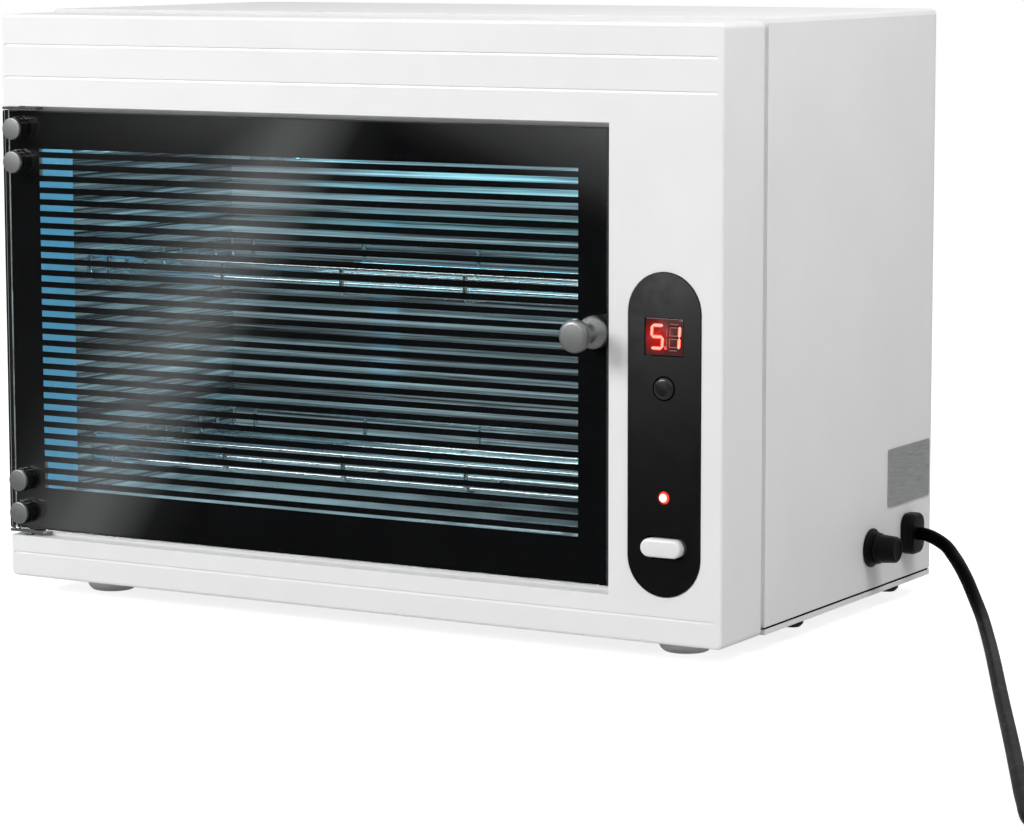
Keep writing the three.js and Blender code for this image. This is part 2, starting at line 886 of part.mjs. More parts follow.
// Lamp: a tube between two pinned caps, held by two sockets under the chamber's ceiling
function lamp() {
  const socketReach = socketInset + socketWidth + clearance;
  const start = rimLeft + socketReach;
  const end = openingRight - socketReach;
  const inset = lampCapLength / 2;
  addPiece('uv_tube', rod(lampDiameter, [start + inset, end - inset], 'x', lampCentre()), lampQuartz);
  addPiece('lamp_cap_left', lampCap(start, 1), turnedSteel);
  addPiece('lamp_cap_right', lampCap(end, -1), turnedSteel);
  addPiece('lamp_socket_left', lampSocket(start - clearance, -1), whiteFitting);
  addPiece('lamp_socket_right', lampSocket(end + clearance, 1), whiteFitting);
}

function lampCentre() {
  return [lampDepth, openingTop - lampDrop];
}

// A cap is a cup that faces inwards to the tube, with two pins on its closed end
function lampCap(face, inwards) {
  const seat = lampCapLength / 2 - clearance;
  const cup = rod(lampCapDiameter, stretch(face, inwards, 0, lampCapLength), 'x', lampCentre())
    .subtract(rod(lampDiameter + 2 * clearance, stretch(face, inwards, seat, lampCapLength + overrun), 'x',
      lampCentre()));
  const [depth, height] = lampCentre();
  const pins = [-pinSpacing / 2, pinSpacing / 2].map((offset) => rod(pinDiameter,
    stretch(face, inwards, -pinLength, seat / 2), 'x', [depth, height + offset], smallSides));
  return united([cup, ...pins]);
}

// A socket reaches outwards from its face, with a blind bore for the pins
function lampSocket(face, outwards) {
  const [depth, height] = lampCentre();
  const outline = roundedOutline([depth - socketDepth / 2, depth + socketDepth / 2],
    [height - socketDrop, openingTop - clearance], socketRound);
  const bore = socketWidth - clearance - liningSheet;
  return prismX(outline, stretch(face, outwards, 0, socketWidth))
    .subtract(rod(socketBore, stretch(face, outwards, -overrun, bore), 'x', lampCentre()));
}

// Ballast: a block with two tabs, on the base plate beside the chamber
function ballast() {
  const right = cabinetWidth - ballastSideGap;
  const width = [right - ballastWidth, right];
  const low = baseThickness + clearance;
  const solid = block(width, [ballastFront, ballastFront + ballastLength], [low, low + ballastHeight])
    .add(block(width, [ballastFront - ballastTab, ballastFront + ballastLength + ballastTab],
      [low, low + ballastTabThickness]));
  addPiece('ballast', solid, coatedSteel);
}

// Door: glass held by a clamp at each hinge corner
function doorGlass() {
  let solid = block([glassLeft, glassRight], [glassSetback, glassBack], [glassFoot, glassTop]);
  const through = [glassSetback - overrun, glassBack + overrun];
  for (const height of hingeScrewHeights()) {
    solid = solid.subtract(hingeScrewHole(through, height));
  }
  solid = solid.subtract(rod(strikeShank + 2 * clearance, through, 'y', knobPlace(), smallSides));
  addPiece('door_glass', solid, doorTint);
}

function hingeScrewHole(span, height) {
  return rod(hingeScrewShank + 2 * clearance, span, 'y', [hingeScrewInset, height], smallSides);
}

function hingeScrewHeights() {
  const drops = [hingeScrewDrop, hingeScrewDrop + hingeScrewSpacing];
  return [...drops.map((drop) => glassTop - drop), ...drops.map((drop) => glassFoot + drop)];
}

// A clamp has a leaf behind the glass, a plate past the glass edge, and the pivot that stands on it
function hingeClamp(name, edge, way) {
  const left = glassLeft + clampEdgeInset;
  const leafFront = glassBack + clearance;
  const leafBack = leafFront + clampLeaf;
  const plateTop = clearance + clampPlate;
  const leaf = block([left, glassLeft + clampLeafWidth], [leafFront, leafBack],
    stretch(edge, way, -clampHeight, plateTop));
  const plate = block([left, glassLeft + clampWidth], [glassSetback, leafBack],
    stretch(edge, way, clearance, plateTop));
  const pivot = rod(pivotDiameter, stretch(edge, way, clearance, plateTop + pivotReach), 'z',
    [pivotInset, pivotDepth], smallSides);
  let solid = united([leaf, plate, pivot]);
  for (const height of hingeScrewHeights()) {
    solid = solid.subtract(hingeScrewHole([leafFront - clearance / 2, leafBack + overrun], height));
  }
  addPiece(name, solid, brightSteel);
}

function hingeBushing(name, heights) {
  const solid = sleeve(bushingDiameter(), pivotDiameter + 2 * pivotPlay, heights, 'z',
    [pivotInset, pivotDepth], smallSides);
  addPiece(name, solid, nylonGrey);
}

// Each hinge screw has a ridged washer between its head and the glass
function hingeScrews() {
  const washerBack = glassSetback - clearance;
  const washerFront = washerBack - hingeWasherDepth;
  const headBack = washerFront - clearance;
  const headFront = headBack - hingeScrewHeadDepth;
  const head = hingeScrewHead / 2;
  const shank = hingeScrewShank / 2;
  const tail = glassBack + clearance + clampLeaf + hingeScrewTail;
  hingeScrewHeights().forEach((height, i) => {
    const place = [hingeScrewInset, height];
    const profile = [
      [0, headFront],
      [head * chamferShare, headFront],
      [head, (headFront + headBack) / 2],
      [head, headBack],
      [shank, headBack],
      [shank, tail],
      [0, tail],
    ];
    addPiece(`hinge_screw_${i + 1}`, turned(profile, 'y', place), turnedSteel);
    addPiece(`hinge_washer_${i + 1}`, ridgedWasher(place, [washerFront, washerBack]), rubberBlack);
  });
}

function ridgedWasher([x, z], span) {
  const outline = new THREE.Shape();
  const steps = 2 * washerRidges;
  for (let i = 0; i < steps; i++) {
    const radius = hingeWasherDiameter / 2 - (i % 2) * washerRidgeDepth;
    const angle = fullTurn * i / steps;
    const [u, v] = [x + radius * Math.cos(angle), z + radius * Math.sin(angle)];
    if (i === 0) outline.moveTo(u, v);
    else outline.lineTo(u, v);
  }
  outline.closePath();
  return prismY(outline, span).subtract(hingeScrewHole([span[0] - overrun, span[1] + overrun], z));
}

// Knob: a flange on the glass, a neck and a domed head, with a blind bore for its screw
function doorKnob() {
  const foot = glassSetback - clearance;
  const tip = glassSetback - knobReach;
  const headBack = tip + knobHeadDepth;
  const flange = knobFlange / 2;
  const neck = knobNeck / 2;
  const head = knobHead / 2;
  const bore = knobBore / 2;
  const rimLevel = tip + knobHeadDepth / 2;
  const domeLevel = tip + knobHeadDepth * knobDomeShare;
  const profile = [
    [0, tip],
    [head / 2, domeLevel],
    [head * (1 + chamferShare) / 2, tip + knobHeadDepth * knobShoulderShare],
    [head, rimLevel],
    [(head + neck) / 2, headBack],
    [neck, headBack + knobHeadDepth * knobShoulderShare],
    [neck, foot - 2 * knobFlangeDepth],
    [flange, foot - knobFlangeDepth],
    [flange, foot],
    [bore, foot],
    [bore, foot - knobBoreDepth],
    [0, foot - knobBoreDepth],
  ];
  addPiece('door_knob', turned(profile, 'y', knobPlace(), fineSides), turnedSteel);
  const strikeFront = glassBack + clearance;
  const disc = strikeDiameter / 2;
  const shank = strikeShank / 2;
  const shankTip = foot - knobBoreDepth + 2 * clearance;
  const strike = [
    [0, shankTip],
    [shank, shankTip],
    [shank, strikeFront],
    [disc, strikeFront],
    [disc, strikeFront + strikeDepth],
    [0, strikeFront + strikeDepth],
  ];
  addPiece('knob_screw', turned(strike, 'y', knobPlace()), turnedSteel);
  const magnet = rod(magnetDiameter, [magnetFront(), magnetFront() + magnetLength], 'y', knobPlace());
  addPiece('door_magnet', magnet, magnetPlating);
}

// Control panel: a black plate with round ends, cut for the display, two buttons and the light,
// with posts behind it for the circuit board
function controlPanel() {
  const through = [panelFront - overrun, panelBack + overrun];
  const half = displayWidth / 2;
  const tall = displayHeight / 2;
  const window = block([panelMiddle - half, panelMiddle + half], through,
    [displayCentre - tall, displayCentre + tall]);
  const plate = prismY(panelOutline(0), [panelFront, panelBack], { steps: capSteps })
    .subtract(window)
    .subtract(rod(setButtonDiameter + 2 * clearance, through, 'y', [panelMiddle, setButtonHeight]))
    .subtract(rod(lightDiameter + 2 * clearance, through, 'y', [panelMiddle, lightHeight], smallSides))
    .subtract(prismY(powerOutline(clearance), through, { steps: capSteps }));
  const posts = boardPostPlaces().map((place) => rod(postDiameter,
    [panelBack - clearance, boardDepth - clearance], 'y', place, smallSides));
  addPiece('control_panel', united([plate, ...posts]), glossBlack);
}

function boardPostPlaces() {
  const across = boardWidth / 2 - postInset;
  const places = [];
  for (const x of [panelMiddle - across, panelMiddle + across]) {
    for (const z of [boardFoot + postInset, boardTop - postInset]) places.push([x, z]);
  }
  return places;
}

function powerOutline(grow) {
  return roundedOutline([panelMiddle - powerWidth / 2 - grow, panelMiddle + powerWidth / 2 + grow],
    [powerCentre - powerHeight / 2 - grow, powerCentre + powerHeight / 2 + grow], powerHeight / 2 + grow);
}

function controls() {
  const gap = clearance;
  const half = displayWidth / 2 - gap;
  const tall = displayHeight / 2 - gap;
  const display = block([panelMiddle - half, panelMiddle + half],
    [panelFront + displayBezel, boardDepth - gap], [displayCentre - tall, displayCentre + tall]);
  addPiece('display_module', display, satinBlack);

  const cap = setButtonDiameter / 2;
  const capFront = panelFront - setButtonProud;
  const capBack = tactFront() - gap - setTravel;
  const collar = cap + 2 * clearance + setButtonLip;
  const collarFront = panelBack + gap;
  const button = turned([
    [0, capFront],
    [cap * chamferShare, capFront],
    [cap, capFront + setButtonProud / 2],
    [cap, collarFront],
    [collar, collarFront],
    [collar, collarFront + setButtonLip],
    [cap, collarFront + setButtonLip],
    [cap, capBack],
    [0, capBack],
  ], 'y', [panelMiddle, setButtonHeight]);
  addPiece('set_button', button, satinBlack);

  const lens = lightDiameter / 2;
  const lensFront = panelFront - lightProud;
  const lensBack = lensFront + lightBody;
  const light = turned([
    [0, lensFront],
    [lens * chamferShare, lensFront + lightProud / 2],
    [lens, lensFront + lens],
    [lens, panelBack + gap],
    [lens + lightFlange, panelBack + gap],
    [lens + lightFlange, lensBack],
    [0, lensBack],
  ], 'y', [panelMiddle, lightHeight], smallSides);
  const legs = [-lens / 2, lens / 2].map((offset) => block(
    [panelMiddle + offset - lightLeg / 2, panelMiddle + offset + lightLeg / 2],
    [lensBack - gap, boardDepth - gap],
    [lightHeight - lightLeg / 2, lightHeight + lightLeg / 2],
  ));
  addPiece('indicator_light', united([light, ...legs]), lensRed);

  const housingFront = panelBack + gap;
  const power = prismY(powerOutline(0), [panelFront - powerProud, panelBack + powerDepth],
    { bevel: powerRound, steps: capSteps })
    .add(prismY(powerOutline(powerLip), [housingFront, housingFront + powerLip], { steps: capSteps }));
  addPiece('power_button', power, whiteMoulding);

  const pocketBack = panelBack + powerDepth + powerTravel + gap;
  const housingOutline = powerOutline(powerLip + gap + switchWall);
  const pocket = prismY(powerOutline(powerLip + gap), [housingFront - overrun, pocketBack],
    { steps: capSteps });
  const housing = prismY(housingOutline, [housingFront, housingFront + switchDepth], { steps: capSteps })
    .subtract(pocket);
  addPiece('power_switch', housing, satinBlack);

  const across = boardWidth / 2;
  const board = united([
    block([panelMiddle - across, panelMiddle + across], [boardDepth, boardDepth + boardThickness],
      [boardFoot, boardTop]),
    block([panelMiddle - tactWidth / 2, panelMiddle + tactWidth / 2], [tactFront(), boardDepth + clearance],
      [setButtonHeight - tactWidth / 2, setButtonHeight + tactWidth / 2]),
    block([panelMiddle - chipWidth / 2, panelMiddle + chipWidth / 2],
      [boardDepth - chipDepth, boardDepth + clearance],
      [chipCentre - chipHeight / 2, chipCentre + chipHeight / 2]),
  ]);
  addPiece('control_board', board, boardGreen);
}

function tactFront() {
  return boardDepth - tactWidth / 2 - clearance;
}

function fuseCapBack() {
  return cabinetWidth + 2 * clearance + 2 * fuseFlangeDepth;
}

function fuseTip() {
  return fuseCapBack() + fuseCapLength;
}

// Fuse holder through the shell's right side, with its nut inside and its quarter-turn cap outside
function fuse() {
  const centre = [fuseBack, fuseHeight];
  const wall = cabinetWidth;
  const flangeBack = wall + clearance;
  const flangeFront = flangeBack + fuseFlangeDepth;
  const inner = wall - fuseBodyLength;
  const bore = fuseBore / 2;
  const body = fuseBody / 2;
  const holder = turned([
    [0, inner],
    [body, inner],
    [body, flangeBack],
    [fuseFlange / 2, flangeBack],
    [fuseFlange / 2, flangeFront],
    [fuseCollar / 2, flangeFront],
    [fuseCollar / 2, flangeFront + fuseFlangeDepth],
    [bore, flangeFront + fuseFlangeDepth],
    [bore, inner + fuseFlangeDepth],
    [0, inner + fuseFlangeDepth],
  ], 'x', centre);
  addPiece('fuse_holder', holder, satinBlack);

  const nutFace = wall - shellWall - clearance;
  const nut = sleeve(fuseNut, fuseBody + 2 * clearance, [nutFace - fuseNutDepth, nutFace], 'x', centre,
    smallSides);
  addPiece('fuse_nut', nut, satinBlack);

  const capBack = fuseCapBack();
  const capFront = fuseTip();
  const stem = fuseStem / 2;
  const linkSeat = capBack - fuseStemLength;
  const cap = turned([
    [0, linkSeat],
    [stem, linkSeat],
    [stem, capBack],
    [fuseCapBase / 2, capBack],
    [fuseCapBase / 2, capBack + fuseCapCollar],
    [(fuseCapBase / 2 + fuseCapTip / 2) / 2, capBack + fuseCapCollar],
    [fuseCapTip / 2, capFront - clearance],
    [fuseCapTip / 2 - clearance, capFront],
    [0, capFront],
  ], 'x', centre);
  addPiece('fuse_cap', cap, satinBlack);

  const linkEnd = linkSeat - clearance;
  const link = rod(fuseLinkDiameter, [linkEnd - fuseLinkLength, linkEnd], 'x', centre, smallSides);
  addPiece('fuse_link', link, fuseGlass);
}

function ratingPlate() {
  const outline = roundedOutline([plateBack - plateWidth / 2, plateBack + plateWidth / 2],
    [plateCentre - plateHeight / 2, plateCentre + plateHeight / 2], plateCorner);
  const face = cabinetWidth + clearance / 2;
  addPiece('rating_plate', prismX(outline, [face, face + plateThickness]), silverFoil);
}

// Strain relief: a rounded block outside the shell, with a neck that locks behind the wall
function strainRelief() {
  const half = gripWidth / 2;
  const tall = gripTall / 2;
  const outline = roundedOutline([gripBack - half, gripBack + half], [gripHeight - tall, gripHeight + tall],
    gripCorner);
  const face = cabinetWidth + clearance;
  const solid = prismX(outline, [face, cabinetWidth + gripReach], { bevel: gripRound })
    .add(prismX(gripNeckOutline(0), [cabinetWidth - gripNeckLength, face + gripReach / 2]));
  addPiece('strain_relief', solid, satinBlack);
}

// Mains lead. The route's points are the middle of the lead, chosen by hand
const cordRest = footLevel + cordDiameter / 2 + floorLift;
const coilCentre = [646, -178];
const coilDepth = coilPitch * (coilInTurns + 1 / 4);
const coilOuterRadius = coilMiddleRadius + coilDepth / 2;
const coilLow = footLevel + cordDiameter / 2 + tieThickness + tieGap + floorLift;
const coilStart = [coilCentre[0] - cordDiameter, coilCentre[1] - coilOuterRadius, coilLow];
const runStart = cabinetWidth + gripReach + clearance;
const runPoints = [
  [runStart, gripBack, gripHeight],
  [runStart + cordDiameter / 3, gripBack, gripHeight],
  [384.4, 185, 22.4],
  [392.5, 181.5, 19.6],
  [399, 175.8, 16.2],
  [405.5, 168.4, 13],
  [413, 159.6, 8.2],
  [420.5, 150, 2.8],
  [429.5, 136.5, -1.8],
  [443, 111, -4.6],
  [461, 74, cordRest],
  [500, -9, cordRest],
  [535, -83, cordRest],
  [557, -130, cordRest],
  [574, -166, cordRest],
  [586, -189, cordRest],
  [603, -207, cordRest],
];

function runCurve() {
  const [x, y, z] = coilStart;
  const ends = [
    [x - 2 * cordDiameter, y + cordDiameter / 4, (z + cordRest) / 2],
    [x - cordDiameter, y, z],
    [x - clearance, y, z],
  ];
  const points = [...runPoints, ...ends].map(([u, v, w]) => new THREE.Vector3(u, v, w));
  return new THREE.CatmullRomCurve3(points, false, 'centripetal');
}

function cordSection() {
  const section = new THREE.Shape();
  for (let k = 0; k < cordSides; k++) {
    const angle = fullTurn * (k + 1 / 2) / cordSides;
    const [u, v] = [cordDiameter / 2 * Math.cos(angle), cordDiameter / 2 * Math.sin(angle)];
    if (k === 0) section.moveTo(u, v);
    else section.lineTo(u, v);
  }
  section.closePath();
  return section;
}

function laidCord(name, curve) {
  const steps = Math.ceil(curve.getLength() / cordStep);
  const geometry = new THREE.ExtrudeGeometry(cordSection(), { steps, extrudePath: curve });
  addPiece(name, solidOf(geometry), leadBlack);
}

// The coil winds inwards on the surface, climbs a layer in the half turn where it reverses,
// and winds outwards again on top
function coilPoints() {
  const points = [new THREE.Vector3(...coilStart)];
  const turns = coilInTurns + 1 / 2 + coilOutTurns;
  const steps = Math.round(turns * coilSteps);
  for (let i = 0; i <= steps; i++) {
    const turn = i / coilSteps;
    const climb = 2 * (turn - coilInTurns);
    const inward = Math.min(turn, coilInTurns + 1 / 4);
    const outward = Math.max(turn - coilInTurns - 1 / 4, 0);
    const radius = coilOuterRadius - coilPitch * (inward - outward);
    const rise = THREE.MathUtils.smoothstep(climb, 0, 1) * coilRise;
    const angle = -halfTurn / 2 + fullTurn * turn;
    points.push(new THREE.Vector3(
      coilCentre[0] + radius * Math.cos(angle),
      coilCentre[1] + radius * Math.sin(angle),
      coilLow + rise,
    ));
  }
  return points;
}

function coil() {
  const points = coilPoints();
  const last = points[points.length - 1];
  const before = points[points.length - 2];
  const way = last.clone().sub(before).setZ(0).normalize();
  points.push(last.clone().add(way.clone().multiplyScalar(cordDiameter)));
  addPiece('cord_coil', solidOf(tubeThrough(points, cordDiameter, coilSides)), leadBlack);
  console.log(`least gap in the coil ${leastGap(points).toFixed(2)} mm`);
  return { points, way };
}

// Least distance between stretches of the coil more than half a turn apart, less the diameter
function leastGap(points) {
  let least = Infinity;
  const apart = coilSteps / 2;
  for (let i = 0; i < points.length; i++) {
    for (let j = i + apart; j + 1 < points.length; j++) {
      const segment = new THREE.Line3(points[j], points[j + 1]);
      const near = segment.closestPointToPoint(points[i], true, new THREE.Vector3());
      least = Math.min(least, near.distanceTo(points[i]) - cordDiameter);
    }
  }
  return least;
}

function pathLength(points) {
  return points.slice(1).reduce((sum, point, i) => sum + point.distanceTo(points[i]), 0);
}

// A tie goes round the coil's bundle of turns, square to them
function cordTie(points) {
  const angle = fullTurn * (tieStep + 1 / 2) / coilSteps;
  const way = new THREE.Vector2(Math.cos(angle), Math.sin(angle));
  const places = points.map(({ x, y }) => new THREE.Vector2(x - coilCentre[0], y - coilCentre[1]));
  const crossed = places.filter((place) => place.dot(way) > 0 && Math.abs(place.cross(way)) < cordDiameter);
  const reaches = crossed.map((place) => place.dot(way));
  const hold = cordDiameter / 2 + tieGap;
  const inner = [Math.min(...reaches) - hold, Math.max(...reaches) + hold];
  const heights = [coilLow - hold, coilLow + coilRise + hold];
  const side = [-tieWidth / 2, tieWidth / 2];
  const around = ([low, high], grow) => [low - grow, high + grow];
  const ring = block(around(inner, tieThickness), side, around(heights, tieThickness))
    .subtract(block(inner, around(side, overrun), heights));
  const geometry = geometryOf(ring);
  geometry.rotateZ(angle);
  geometry.translate(coilCentre[0], coilCentre[1], 0);
  addPiece('cord_tie', solidOf(geometry), leadBlack);
}

// Plug: a flat body with a tapered neck and two round pins, lying on the surface beside the coil
function plug({ x, y }, heading) {
  const middle = footLevel + floorLift + plugDepth / 2;
  const half = plugWidth / 2;
  const neck = plugNeckWidth / 2;
  const shoulder = plugNeckLength + plugNoseRadius;
  const outline = new THREE.Shape();
  outline.moveTo(0, -neck);
  outline.lineTo(plugNeckLength, -neck);
  outline.quadraticCurveTo(shoulder, -half, shoulder + plugNoseRadius, -half);
  outline.lineTo(plugNeckLength + plugLength, -half);
  outline.lineTo(plugNeckLength + plugLength, half);
  outline.lineTo(shoulder + plugNoseRadius, half);
  outline.quadraticCurveTo(shoulder, half, plugNeckLength, neck);
  outline.lineTo(0, neck);
  outline.closePath();
  const face = plugNeckLength + plugLength;
  const offsets = [-plugPinSpacing / 2, plugPinSpacing / 2];
  let body = prismZ(outline, [-plugDepth / 2, plugDepth / 2], { bevel: plugRound, steps: capSteps });
  const pinHole = plugPinDiameter + 2 * clearance;
  const holeSpan = [face - plugPinRoot - clearance, face + overrun];
  for (const offset of offsets) {
    body = body.subtract(rod(pinHole, holeSpan, 'x', [offset, 0], smallSides));
  }
  const placed = (solid) => {
    const geometry = geometryOf(solid);
    geometry.rotateZ(heading);
    geometry.translate(x, y, middle);
    return solidOf(geometry);
  };
  addPiece('plug_body', placed(body), satinBlack);
  const pinSpan = [face - plugPinRoot, face + plugPinLength];
  offsets.forEach((offset, i) => {
    const pin = rod(plugPinDiameter, pinSpan, 'x', [offset, 0], smallSides);
    addPiece(`plug_pin_${i + 1}`, placed(pin), pinBrass);
  });
}

// The tail leaves the coil's last turn, comes down to rest and bends round to the plug
function tailCurve(start, heading, length) {
  const plugLevel = footLevel + floorLift + plugDepth / 2;
  const bend = tailTurn / length;
  const place = (along, height) => {
    const turned = bend * along;
    const forward = Math.sin(turned) / bend;
    const aside = (1 - Math.cos(turned)) / bend;
    return new THREE.Vector3(
      start.x + forward * Math.cos(heading) - aside * Math.sin(heading),
      start.y + forward * Math.sin(heading) + aside * Math.cos(heading),
      height,
    );
  };
  const half = length / 2;
  return new THREE.CatmullRomCurve3([
    place(0, start.z),
    place(cordDiameter, start.z),
    place(half / 2 + cordDiameter / 2, (start.z + cordRest) / 2),
    place(half, cordRest),
    place((length + half) / 2 - cordDiameter / 2, (plugLevel + cordRest) / 2),
    place(length - cordDiameter, plugLevel),
    place(length, plugLevel),
  ], false, 'centripetal');
}

function mainsLead() {
  const run = runCurve();
  laidCord('cord_run', run);
  const { points, way } = coil();
  cordTie(points);
  const heading = Math.atan2(way.y, way.x);
  const start = points[points.length - 1].clone().addScaledVector(way, clearance);
  const used = run.getLength() + pathLength(points) + 2 * clearance;
  const tail = tailCurve(start, heading, cordLength - used);
  laidCord('cord_tail', tail);
  const tip = tail.getPoint(1).addScaledVector(tail.getTangent(1), clearance);
  plug(tip, heading + tailTurn);
  console.log(`lead: run ${run.getLength().toFixed(1)} mm, coil ${pathLength(points).toFixed(1)} mm, `
    + `tail ${tail.getLength().toFixed(1)} mm, ${(used + tail.getLength()).toFixed(1)} mm in all`);
}

bezel();
outerShell();
basePlate();
baseScrews();
feet();
chamber();
tray('upper_tray', upperTrayHeight);
tray('lower_tray', lowerTrayHeight);
lamp();
ballast();
doorGlass();
hingeClamp('hinge_clamp_top', glassTop, 1);
hingeClamp('hinge_clamp_bottom', glassFoot, -1);
hingeBushing('hinge_bushing_top', [recessTop + clearance, recessTop + bushingLength]);
hingeBushing('hinge_bushing_bottom', [recessFoot - bushingLength, recessFoot - clearance]);
hingeScrews();
doorKnob();
controlPanel();
controls();
fuse();
ratingPlate();
strainRelief();
mainsLead();

// The origin is on the standing surface, under the middle of the cabinet with its knob and fuse cap
const knobProud = knobReach - glassSetback;
cabinet.position.set(-(fuseTip() + glassLeft) / 2, -(cabinetDepth - knobProud) / 2, footHeight);

export default cabinet;
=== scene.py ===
"""Looks of the ultraviolet disinfection cabinet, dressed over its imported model.

Sizes are in millimetres from the bezel's lower left front corner: x to the right, y to the
back, z up. at() turns them into the frame's metres.
"""

import json
import math

import bmesh
import bpy
from mathutils import Matrix, Vector

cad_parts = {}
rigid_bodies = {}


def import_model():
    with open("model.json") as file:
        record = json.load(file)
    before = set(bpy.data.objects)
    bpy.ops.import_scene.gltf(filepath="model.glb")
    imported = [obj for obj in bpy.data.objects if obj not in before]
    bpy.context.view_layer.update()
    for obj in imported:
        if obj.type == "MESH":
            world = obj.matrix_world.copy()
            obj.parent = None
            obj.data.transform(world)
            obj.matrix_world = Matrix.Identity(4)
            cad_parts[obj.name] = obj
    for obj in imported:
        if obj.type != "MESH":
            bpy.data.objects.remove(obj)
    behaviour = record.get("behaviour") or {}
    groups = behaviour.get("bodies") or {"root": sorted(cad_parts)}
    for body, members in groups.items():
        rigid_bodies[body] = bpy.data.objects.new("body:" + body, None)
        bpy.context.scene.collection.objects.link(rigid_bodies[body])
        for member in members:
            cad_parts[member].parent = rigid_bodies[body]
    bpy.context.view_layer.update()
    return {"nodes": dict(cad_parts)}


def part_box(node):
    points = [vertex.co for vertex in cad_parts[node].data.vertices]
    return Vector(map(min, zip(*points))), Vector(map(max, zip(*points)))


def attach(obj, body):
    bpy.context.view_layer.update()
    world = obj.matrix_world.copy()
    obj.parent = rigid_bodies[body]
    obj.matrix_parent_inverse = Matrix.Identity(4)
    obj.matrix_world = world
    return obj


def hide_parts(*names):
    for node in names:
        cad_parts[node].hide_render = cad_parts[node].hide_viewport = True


for leftover in list(bpy.data.objects):
    bpy.data.objects.remove(leftover)
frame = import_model()
nodes = frame["nodes"]

MM = 0.001
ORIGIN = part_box("front_bezel")[0]
FULL_TURN = 2 * math.pi
QUARTER = math.pi / 2
SHARP_ANGLE = 35
SMALLEST_RADIUS = 0.01

# Cabinet
WIDTH = 371
GAP = 0.3
FLOOR = -8.5

# Photograph and camera
PHOTO_WIDTH = 1024
SENSOR = 36
FOCAL_PIXELS = 3694.4
CAMERA_PLACE = (1055.6, -1351.0, 299.7)
CAMERA_YAW = 0.5267
CAMERA_PITCH = 0.1323
CAMERA_ROLL = -0.0019

# Mains lead
CORD_DIAMETER = 6
CORD_EXIT = (377.6, 186, 23.3)
CORD_REST = -5.4
CORD_ROUTE = [
    CORD_EXIT, (379.6, 186, 23.3), (384.4, 185, 22.4), (392.5, 181.5, 19.6),
    (399, 175.8, 16.2), (405.5, 168.4, 13), (413, 159.6, 8.2), (420.5, 150, 2.8),
    (429.5, 136.5, -1.8), (443, 111, -4.6), (461, 74, CORD_REST), (500, -9, CORD_REST),
    (535, -83, CORD_REST), (557, -130, CORD_REST), (574, -166, CORD_REST), (586, -189, CORD_REST),
    (603, -207, CORD_REST),
]
COIL_CENTRE = (646, -178)
COIL_MIDDLE_RADIUS = 33
COIL_PITCH = 6.9
COIL_STEPS = 24
COIL_IN_TURNS = 2
COIL_OUT_TURNS = 1.75
COIL_REVERSE = 0.25
COIL_LOW = -4.1
PLUG_LEVEL = -1.55
TAIL_TURN = math.pi / 3
TAIL_LENGTH = 115.4

# Chamber and door
OPENING = (12, 303, 34, 206)
GLASS = (-1.8, 315.7, 21.9, 216.2)
GLASS_FRONT = 1.6
GLASS_BACK = 5.6
GLASS_CHAMFER = 0.6
GLASS_CORNER = 1
WINDOW = (17.5, 300, 41.8, 198.7)
STRIPES = 29
PRINT_THICKNESS = 0.05
PRINT_GAP = 0.03
PRINT_MARGIN = 0.12
PRINT_CORNER = 0.02
PRINT_BEVEL = 0.01
# Left and right of a silver line behind the glass's left edge, a painted highlight of its polished edge
EDGE_HIGHLIGHT = (0.1, 0.8)

# Grooves in the bezel's front
GROOVE_HEIGHTS = (245.8, 231.2, 10.8)
GROOVE_ENDS = (2.05, 367.45)
GROOVE_WIDTH = 1.4
GROOVE_DEPTH = 1
GROOVE_LIP = 0.05
GROOVE_SHADE = 0.4

# Rolled lines of the chamber's sheets
SHEET_GRAIN = 0.03

# Painted lamp light on the opening's left wall: a glowing blue sheet, narrower at the clamps of the open door
PAINTED_LIGHT_THICKNESS = 0.06
PAINTED_LIGHT_INSET = 4.5
PAINTED_LIGHT_FRONT = 11
PAINTED_LIGHT_STEP = 15
PAINTED_LIGHT_BACK = 38
PAINTED_LIGHT_BETWEEN_CLAMPS = (54, 184)

# Hinge screws
SCREW_X = 7.5
SCREW_HEIGHTS = (207.9, 192.7, 30.2, 45.4)
SCREW_HEAD = 10
SCREW_FRONT = -4.0
SCREW_BACK = -1.8
SCREW_SHANK = 4
SCREW_TAIL = 9.0
SCREW_EDGE = 0.5

# Knob
KNOB_PLACE = (309.3, 130)
KNOB_TIP = -18.4
KNOB_FOOT = 1.3
KNOB_HEAD = 14.4
KNOB_HEAD_DEPTH = 7
KNOB_NECK = 7.6
KNOB_FLANGE = 14
KNOB_FLANGE_DEPTH = 2.4
KNOB_EDGE = 1.2
KNOB_HEAD_SHARES = ((0.8, 0.05), (0.96, 0.2), (1, 0.42), (0.97, 0.62))
KNOB_THROAT_SHARES = (1.15, 0.3)

# Trays
TRAY_WIRE = 2.2
TRAY_X = (16.1, 298.9)
TRAY_Y = (44.3, 162)
TRAY_LEVELS = {"upper_tray": 134, "lower_tray": 49}
TRAY_WALL = 14
TRAY_RIBS = 9
TRAY_RUNNERS = 5
RUNNER_INSET = 12
WELD = 1.54
WIRE_BEND = 3.5

# Lamp
LAMP_PLACE = (154, 195.5)
LAMP_ENDS = (51.5, 263.5)
LAMP_DIAMETER = 15.2
LAMP_CAP = 16.8
LAMP_CAP_LENGTH = 10
LAMP_PIN = 2.4
LAMP_PIN_LENGTH = 7.1
LAMP_PIN_SPACING = 4.75
LAMP_PIN_ROOT = 1
LAMP_PIN_EDGE = 0.6
LAMP_TUBE_EDGE = 2.5
LAMP_CAP_EDGE = 0.5
LAMP_CAP_SHARES = ((1, 0), (1, 0.62), (0.955, 0.7), (0.955, 0.8), (1, 0.88), (1, 1))

